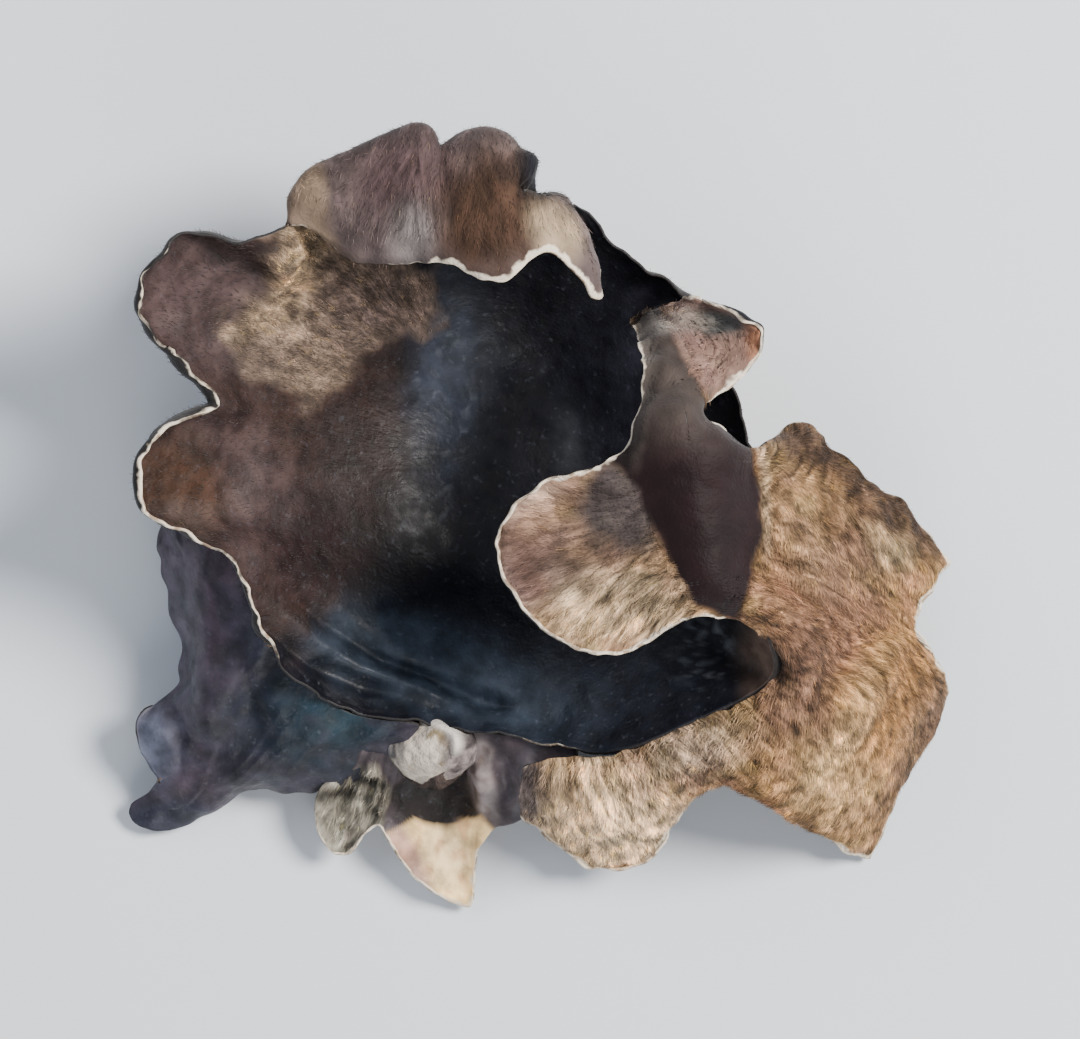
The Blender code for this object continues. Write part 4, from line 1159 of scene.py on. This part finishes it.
APRON_POINTS = (6,)
APRON_OUTER = [
    (-33.6, 1.5, 10.0), (-34.6, -2.4, 6.6), (-33.9, -8.4, 4.2), (-32.7, -15.0, 3.4),
    (-36.2, -18.0, 5.2), (-36.5, -21.6, 4.6), (-34.3, -24.4, 3.6), (-37.7, -27.3, 1.6),
    (-33.8, -29.1, 1.6), (-29.4, -27.5, 2.2), (-26.3, -25.7, 3.2), (-22.0, -25.8, 3.6),
    (-17.4, -24.3, 5.0), (-13.4, -22.4, 7.0),
]
APRON_FOLDS = [
    (0.6, 0.6, [(-33.6, -15.5), (-33.3, -18.0), (-32.4, -21.0), (-32.8, -24.4)]),
    (-0.5, 1.2, [(-30.6, -3.0), (-30.4, -9.0), (-30.0, -16.0), (-30.6, -24.0)]),
    (0.5, 1.2, [(-27.0, -7.0), (-26.4, -14.0), (-26.0, -21.0)]),
    (-0.4, 1.2, [(-23.4, -12.0), (-23.6, -17.0), (-23.0, -23.0)]),
]
APRON_PALE = [0.2, 0.1, 0.1, 0.0, 0.0, 0.0, 0.0, 0.1, 0.3, 0.2, 0.2, 0.2, 0.1, 0.0]
APRON_CURL = [0.0, 0.0, -0.2, 0.0, 0.4, 0.2, 0.0, 0.0, 0.0, -0.2, -0.3, -0.2, 0.0, 0.0]
APRON_MIDDLE = [
    (-31.8, 0.8, 11.6), (-31.2, -3.2, 11.0), (-30.0, -8.2, 11.8), (-28.6, -13.2, 11.6),
    (-29.0, -16.6, 11.2), (-28.6, -19.0, 9.8), (-27.8, -20.8, 8.4), (-27.2, -23.2, 7.2),
    (-25.8, -23.0, 7.6), (-24.2, -22.2, 8.2), (-22.2, -21.6, 8.8), (-19.2, -21.2, 9.0),
    (-15.8, -20.9, 9.2), (-12.2, -20.6, 9.4),
]
APRON_ROOT = [
    (-29.5, 2.6, 14.0), (-28.0, -1.0, 13.6), (-26.2, -4.0, 13.2), (-24.8, -6.6, 12.8),
    (-23.8, -9.0, 12.4), (-22.8, -11.2, 12.2), (-22.0, -13.0, 12.2), (-20.8, -14.6, 12.0),
    (-19.4, -15.8, 11.8), (-17.8, -16.8, 11.6), (-16.0, -17.6, 11.2), (-14.0, -18.2, 11.0),
    (-12.0, -18.6, 10.8), (-10.0, -18.9, 10.6),
]

apron_root = np.array(drawn_onto(APRON_ROOT, cup_surface, JOIN_DEPTH))
apron_middle, apron_outer = np.array(APRON_MIDDLE), np.array(APRON_OUTER)
apron_cage = open_cage(
    [apron_root, (apron_root + apron_middle) / 2, apron_middle,
     (apron_middle + apron_outer) / 2, apron_outer],
    APRON_POINTS,
)
apron_mesh = grown_sheet("apron_sheet", apron_cage, False, APRON_POINTS, {
    -1: (APRON_PALE, APRON_CURL)
}, joined={0: range(len(APRON_ROOT))})
pressed(apron_mesh, APRON_FOLDS)
apron_places = dried(apron_mesh, seed=9, wrinkle=0.045, veins=3.0, swell=0.7)
apron = thickened("apron_sheet", apron_mesh)
apron_tint = tinted((0.056, 0.040, 0.056), [
    ((0.070, 0.062, 0.084), 0.7 * oval(apron_places, (-32.4, -9.0), (1.8, 9.0), 6, soft=0.7)),
    ((0.048, 0.056, 0.082), 0.7 * oval(apron_places, (-24.0, -11.0), (2.4, 4.0), 40, soft=0.8)),
    ((0.002, 0.010, 0.018), 0.95 * oval(apron_places, (-20.0, -18.4), (8.5, 6.4), soft=0.6)),
    ((0.008, 0.026, 0.038), 0.8 * oval(apron_places, (-17.6, -18.0), (3.0, 2.0), soft=0.8)),
    ((0.011, 0.012, 0.019), 0.7 * oval(apron_places, (-27.0, -20.5), (3.6, 5.5), 20, soft=0.8)),
    # painted sheen: the round lobe paler and bluish
    ((0.100, 0.115, 0.160), 0.85 * oval(apron_places, (-35.2, -20.8), (2.4, 3.4), soft=0.9)),
    ((0.024, 0.024, 0.036), 0.6 * eased_step(rough(apron_places, 2.0, 91), 0.0, 0.5)),
    ((0.020, 0.025, 0.040), 0.8 * oval(apron_places, (-34.0, -28.0), (5.0, 2.4), soft=0.5)),
])
apron_under = tinted((0.15, 0.093, 0.060), [
    (BROWN_FELT, oval(apron_places, (-24.0, -14.0), (8.0, 8.0)))
])
plain = np.zeros(len(apron_places))
under_felt = eased_step(kept(apron.data, "edge")[:len(apron_places)], 1.2, 3.0)
paint(apron, apron_tint, plain, apron_under, under_felt)
apron_hairs = combed_felt("apron_felt", apron, FELTED_FACE, density=13.0, seed=31)
for part in (apron, apron_hairs):
    settle(part)

# ---------------------------------------------------------------------------------------------
# The frill below the foothold: a pale tongue, a crumpled bit beside it, and a dark trough behind.
# ---------------------------------------------------------------------------------------------

FRILL_POINTS = (6,)
FRILL_OUTER = [
    (-20.2, -24.8, 5.0), (-20.0, -29.0, 3.4), (-17.2, -31.2, 2.8), (-14.6, -28.3, 4.6),
    (-12.6, -31.6, 3.6), (-9.2, -34.8, 2.2), (-6.0, -36.0, 1.6), (-5.3, -31.2, 3.4),
    (-3.0, -28.5, 4.8), (1.6, -27.0, 7.4),
]
FRILL_PALE = [0.5, 0.8, 1.0, 0.9, 1.0, 1.0, 1.0, 0.8, 0.6, 0.3]
FRILL_CURL = [0.0, 0.2, 0.3, 0.0, 0.2, 0.2, 0.0, 0.0, 0.0, 0.0]
FRILL_TROUGH = [
    (-18.2, -23.6, 6.4), (-17.8, -25.6, 5.2), (-15.6, -26.2, 4.6), (-13.4, -26.0, 4.2),
    (-11.6, -26.6, 3.2), (-9.4, -27.2, 3.0), (-7.2, -27.0, 3.2), (-5.4, -26.4, 4.4),
    (-2.6, -25.2, 7.0), (3.6, -23.8, 10.4),
]
FRILL_SHOULDER = [
    (-17.2, -21.0, 8.6), (-15.8, -21.6, 8.2), (-14.2, -22.0, 7.6), (-12.4, -22.4, 6.8),
    (-10.8, -22.6, 6.2), (-9.2, -22.8, 6.0), (-7.6, -22.6, 6.6), (-5.4, -22.0, 8.2),
    (-2.4, -22.0, 9.8), (3.8, -22.4, 12.0),
]
FRILL_ROOT = [
    (-17.2, -17.6, 9.6), (-15.2, -18.2, 9.2), (-13.2, -18.6, 9.0), (-11.4, -18.9, 8.8),
    (-9.8, -19.1, 8.8), (-8.2, -19.2, 8.8), (-6.6, -19.4, 9.0), (-4.4, -19.8, 9.6),
    (-0.6, -20.4, 10.8), (4.4, -21.0, 12.8),
]
# A pale arch of flesh beside the trough, and a hollow on each side of it.
FRILL_FOLDS = [
    (-0.8, 0.8, [(-6.2, -20.6), (-4.9, -22.6), (-4.5, -25.2), (-5.4, -28.4)]),
    (0.7, 0.9, [(-3.0, -20.8), (-2.6, -23.6), (-2.8, -26.6)]),
    (-0.6, 0.7, [(-0.9, -21.6), (-0.8, -24.0), (-1.6, -27.4)]),
]
CRUMPLED_BIT = [
    (-21.0, -25.0), (-17.6, -23.9), (-14.6, -22.2), (-13.4, -24.5), (-13.8, -28.0), (-16.0, -33.0),
    (-22.0, -32.0),
]
PALE_TONGUE = [
    (-13.8, -29.0), (-11.0, -28.0), (-8.0, -28.4), (-5.0, -27.6), (-3.8, -29.5), (-4.6, -33.0),
    (-5.4, -37.5), (-10.0, -36.5), (-13.6, -32.5),
]

frill_root = drawn_onto(FRILL_ROOT, cup_surface, JOIN_DEPTH)
frill_cage = open_cage([frill_root, FRILL_SHOULDER, FRILL_TROUGH, FRILL_OUTER], FRILL_POINTS)
frill_mesh = grown_sheet("frill_sheet", frill_cage, False, FRILL_POINTS, {
    -1: (FRILL_PALE, FRILL_CURL)
}, joined={0: range(len(FRILL_ROOT))})
frill_places = corners_of(frill_mesh)[0]
crumple = inside(frill_places, CRUMPLED_BIT, soft=0.9)
trough = oval(frill_places, (-9.2, -26.1), (5.1, 2.3), soft=0.25)
web = oval(frill_places, (-4.7, -23.8), (1.0, 4.0), 6, soft=0.6, broken=0.6, seed=6)
pressed(frill_mesh, FRILL_FOLDS)
frill_places = dried(
    frill_mesh, seed=13, ruffle=0.3, wrinkle=0.10 * (1 - trough) + 0.25 * crumple,
    zones=0.7 * crumple, swell=0.5 + 1.3 * crumple, grain=0.1 + 0.3 * crumple
)
frill = thickened("frill_sheet", frill_mesh)
tongue = inside(frill_places, PALE_TONGUE, soft=0.9)
frill_tint = tinted((0.050, 0.038, 0.044), [
    ((0.165, 0.150, 0.118), 0.9 * crumple),
    ((0.38, 0.35, 0.28), 0.8 * crumple * eased_step(rough(frill_places, 1.2, 85), 0.0, 0.4)),
    ((0.085, 0.072, 0.058), 0.8 * crumple * eased_step(rough(frill_places, 1.4, 86), 0.1, 0.5)),
    # near black in the hollow: dark flesh with painted shade over it
    ((0.008, 0.0052, 0.0046), trough),
    ((0.26, 0.22, 0.215), 0.85 * web),
    ((0.12, 0.085, 0.07), 0.7 * web * eased_step(rough(frill_places, 1.0, 93), 0.0, 0.4)),
    ((0.10, 0.09, 0.10), 0.8 * oval(frill_places, (-1.0, -24.6), (1.0, 3.6), -14, 0.7, seed=7)),
    ((0.88, 0.60, 0.28), tongue),
    # painted highlight: the tongue paler in its middle
    ((0.84, 0.70, 0.46), 0.4 * tongue * oval(frill_places, (-8.0, -31.4), (2.6, 2.6), soft=0.7)),
    ((0.46, 0.24, 0.12), 0.6 * tongue * eased_step(rough(frill_places, 1.3, 92), 0.15, 0.5)),
    ((0.34, 0.19, 0.16), 0.9 * tongue * oval(frill_places, (-12.6, -30.8), (1.7, 4.4), 32)),
])
frill_plain = np.ones(len(frill_places))
frill_under = (0.23, 0.155, 0.10) * frill_plain[:, None]
paint(frill, frill_tint, 0.5 * crumple, frill_under, frill_plain)
frill_hairs = combed_felt("frill_felt", frill, FELTED_FACE, density=13.0, seed=41)
crumple_hairs = combed_felt("crumple_felt", frill, SMOOTH_FACE, density=26.0, seed=42)
for part in (frill, frill_hairs, crumple_hairs):
    settle(part)

# ---------------------------------------------------------------------------------------------
# The foothold: the pale knot of tissue that held the fungus to the wood, torn at the top and cut
# off flat where it rests.
# ---------------------------------------------------------------------------------------------

# Millimetres, or shares of a radius, apart from CUT_FLESH_TOP, which is in metres.
FOOTHOLD_CENTRE = (-9.2, -21.0)
FOOTHOLD_RADII = (5.0, 3.7, 8.0)
FOOTHOLD_TOP = 11.8
FOOTHOLD_LUMPS = 0.07
SCAR_CENTRE = (-10.3, -20.9)
SCAR_RADII = (3.7, 2.9)
SCAR_DISH = 1.0
SCAR_LIP = 0.3
SCAR_RIM = (0.95, 1.15)
LIP_PLACE = 0.88
LIP_WIDTH = 0.13
DISH_REACH = 0.8
WING_FROM_SCAR = (1.6, 2.8)
WING_HEIGHT = 0.45
FLUTE_DEPTH = 0.05
FLUTE_SIZE = 0.22
KNOT_UNEVEN = 0.06
CUT_REACH = 1.5
GREY_SIDE = (1.4, 3.0)
FIBRE_RADIUS = 4
CUT_FLESH_TOP = (0.00005, 0.0002)


def torn_scar_finish():
    """Torn flesh, chalky white to grey with a pale lip, on a dark fibrous stalk."""
    finish = Finish("torn_scar", 0.85, specular=0.3)
    stain = finish.maths("MULTIPLY", finish.span(finish.noise(1.6, 4.0), 0.4, 0.6), 0.45)
    greyness = finish.maths("ADD", finish.kept("left"), stain)
    pale = finish.blend(greyness, (0.76, 0.66, 0.54, 1), (0.115, 0.105, 0.10, 1))
    pale = finish.blend(
        finish.span(finish.noise(2.0, 3.0, offset=4.0), 0.58, 0.7), pale, (0.24, 0.18, 0.10, 1)
    )
    ridge = finish.span(finish.noise(1.3, 4.0, offset=11.0), 0.34, 0.68)
    web = finish.blend(ridge, (0.055, 0.045, 0.047, 1), (0.30, 0.25, 0.24, 1))
    pale = finish.blend(finish.kept("wing"), pale, web)
    pale = finish.blend(finish.kept("lip"), pale, (0.80, 0.75, 0.68, 1))
    fibres = finish.span(finish.noise(0.7, 4.0, stretch=8.0), 0.35, 0.65)
    bark = finish.blend(fibres, (0.012, 0.008, 0.008, 1), (0.075, 0.052, 0.045, 1))
    ragged = finish.maths("ADD", finish.kept("scar"), finish.span(finish.noise(1.1), 0, 1, -.4, .4))
    colour = finish.blend(finish.span(ragged, 0.35, 0.65), bark, pale)
    height = finish.add("ShaderNodeSeparateXYZ", {
        "Vector": finish.add("ShaderNodeTexCoord", {}, "Object")
    }, "Z")
    cut_flesh = finish.blend(
        finish.span(finish.noise(0.5, 4.0), 0.35, 0.65),
        (0.36, 0.25, 0.15, 1),
        (0.16, 0.10, 0.06, 1),
    )
    colour = finish.blend(finish.span(height, *CUT_FLESH_TOP), cut_flesh, colour)
    pits = finish.raise_by(finish.noise(0.8, 5.0), 0.4)
    off_scar = finish.span(finish.kept("scar"), 0.0, 0.5, 1.0, 0.0)
    on_bark = finish.maths("MULTIPLY", fibres, off_scar)
    ridges = finish.raise_by(on_bark, 0.25, pits)
    finish.wear(Base_Color=colour, Normal=finish.raise_by(finish.noise(0.25, 3.0), 0.1, ridges))
    return finish.material


knot = bmesh.new()
bmesh.ops.create_uvsphere(knot, u_segments=128, v_segments=96, radius=1.0)
middle = Vector((*FOOTHOLD_CENTRE, FOOTHOLD_TOP - FOOTHOLD_RADII[2])) + CAGE_TO_FRAME
bmesh.ops.scale(knot, vec=FOOTHOLD_RADII, verts=knot.verts)
bmesh.ops.translate(knot, vec=middle, verts=knot.verts)
cut = bmesh.ops.bisect_plane(
    knot, geom=[*knot.verts, *knot.edges, *knot.faces],
    plane_co=(0.0, 0.0, 0.0), plane_no=(0.0, 0.0, 1.0), clear_inner=True,
)
cut_rim = [item for item in cut["geom_cut"] if isinstance(item, bmesh.types.BMEdge)]
bmesh.ops.edgeloop_fill(knot, edges=cut_rim)
bmesh.ops.recalc_face_normals(knot, faces=knot.faces)
knot_mesh = bpy.data.meshes.new("foothold_knot")
knot.to_mesh(knot_mesh)
knot.free()
knot_places = np.array([vertex.co for vertex in knot_mesh.vertices])
from_axis = (knot_places - np.array(middle)) / FOOTHOLD_RADII
around = np.arctan2(from_axis[:, 1], from_axis[:, 0])
lumps = np.sin(3 * around + 0.6) + 0.6 * np.sin(5 * around + 0.5 * knot_places[:, 2])
circle = np.column_stack([np.cos(around), np.sin(around), 0 * around])
fluted = FLUTE_DEPTH * rough(circle, FLUTE_SIZE, 81)
from_scar = (knot_places - np.array(CAGE_TO_FRAME))[:, :2] - SCAR_CENTRE
spread = np.hypot(*(from_scar / SCAR_RADII).T) + 0.08 * rough(knot_places, 1.6, 89)
upper = from_axis[:, 2] > 0
scar = (1 - eased_step(spread, *SCAR_RIM)) * upper
wing = eased_step(from_scar[:, 0] + 0.4 * rough(knot_places, 1.2, 90), *WING_FROM_SCAR) * upper
wing *= from_axis[:, 2] > WING_HEIGHT
lip = np.exp(-(((spread - LIP_PLACE) / LIP_WIDTH) ** 2)) * upper
lip = lip * eased_step(from_scar[:, 1], -1.2, 0.4)
off_table = eased_step(knot_places[:, 2], 0.0, CUT_REACH)
grown = 1 + FOOTHOLD_LUMPS * lumps * (1 - 0.8 * scar) + fluted * (1 - scar)
grown += KNOT_UNEVEN * rough(knot_places, 2.2, 82) * off_table
knot_places[:, :2] = (from_axis * FOOTHOLD_RADII)[:, :2] * grown[:, None] + np.array(middle)[:2]
dish = np.clip(1 - (spread / DISH_REACH) ** 2, 0, 1) * upper
raised = SCAR_LIP * lip - SCAR_DISH * dish + 0.14 * rough(knot_places, 1.3, 83)
knot_places[:, 2] += off_table * raised
knot_mesh.vertices.foreach_set("co", (knot_places * MM).astype(np.float32).ravel())
knot_mesh.update()
keep(knot_mesh, "scar", np.maximum(scar, wing))
keep(knot_mesh, "lip", np.clip(lip, 0, 1))
keep(knot_mesh, "wing", wing)
leftness = 0.8 * rough(knot_places, 1.5, 84) - from_scar[:, 0]
keep(knot_mesh, "left", eased_step(leftness, *GREY_SIDE))
fibre_lay = FIBRE_RADIUS * circle
fibre_lay[:, 2] = knot_places[:, 2]
keep(knot_mesh, "lay", fibre_lay)
knot_mesh.materials.append(torn_scar_finish())
knot_mesh.shade_smooth()
foothold = bpy.data.objects.new("foothold_knot", knot_mesh)
bpy.context.scene.collection.objects.link(foothold)
settle(foothold)

# ---------------------------------------------------------------------------------------------
# The table, the light and the camera, which looks straight down as the photo does.
# ---------------------------------------------------------------------------------------------

TABLE_CORNERS = [(-2, -2, 0), (2, -2, 0), (2, 2, 0), (-2, 2, 0)]
TABLE_COLOUR = (0.79, 0.84, 0.90, 1.0)
ROOM_COLOUR = (0.80, 0.86, 1.0, 1.0)
ROOM_STRENGTH = 0.30
table_mesh = bpy.data.meshes.new("table")
table_mesh.from_pydata(TABLE_CORNERS, [], [(0, 1, 2, 3)])
table_finish = Finish("pale_table", 0.6)
table_finish.shader.inputs["Base Color"].default_value = TABLE_COLOUR
table_mesh.materials.append(table_finish.material)
table = bpy.data.objects.new("table", table_mesh)
bpy.context.scene.collection.objects.link(table)

world = bpy.data.worlds.new("soft_room")
world.use_nodes = True
background = world.node_tree.nodes["Background"].inputs
background["Color"].default_value = ROOM_COLOUR
background["Strength"].default_value = ROOM_STRENGTH
bpy.context.scene.world = world


def soft_box(name, place, size, power, colour):
    """A round lamp that faces the mushroom."""
    lamp = bpy.data.lights.new(name, "AREA")
    lamp.shape = "DISK"
    lamp.size = size
    lamp.energy = power
    lamp.color = colour
    box = bpy.data.objects.new(name, lamp)
    box.location = place
    box.rotation_euler = (-Vector(place)).to_track_quat("-Z", "Y").to_euler()
    bpy.context.scene.collection.objects.link(box)


soft_box("key", (0.42, 0.16, 0.50), 0.26, 9.0, (1.0, 0.96, 0.91))
soft_box("fill", (-0.45, 0.35, 0.5), 0.5, 1.6, (0.86, 0.92, 1.0))
soft_box("front", (0.1, -0.6, 0.40), 0.5, 2.4, (1.0, 0.98, 0.95))

# The frame is so wide half way up the mushroom.
CAMERA_HEIGHT = 0.60
HALF_WAY_UP = 0.015
FRAME_WIDTH = 0.098
camera_data = bpy.data.cameras.new("camera")
camera_data.lens = camera_data.sensor_width * (CAMERA_HEIGHT - HALF_WAY_UP) / FRAME_WIDTH
camera = bpy.data.objects.new("camera", camera_data)
camera.location = (0.0, 0.0, CAMERA_HEIGHT)
bpy.context.scene.collection.objects.link(camera)
bpy.context.scene.camera = camera
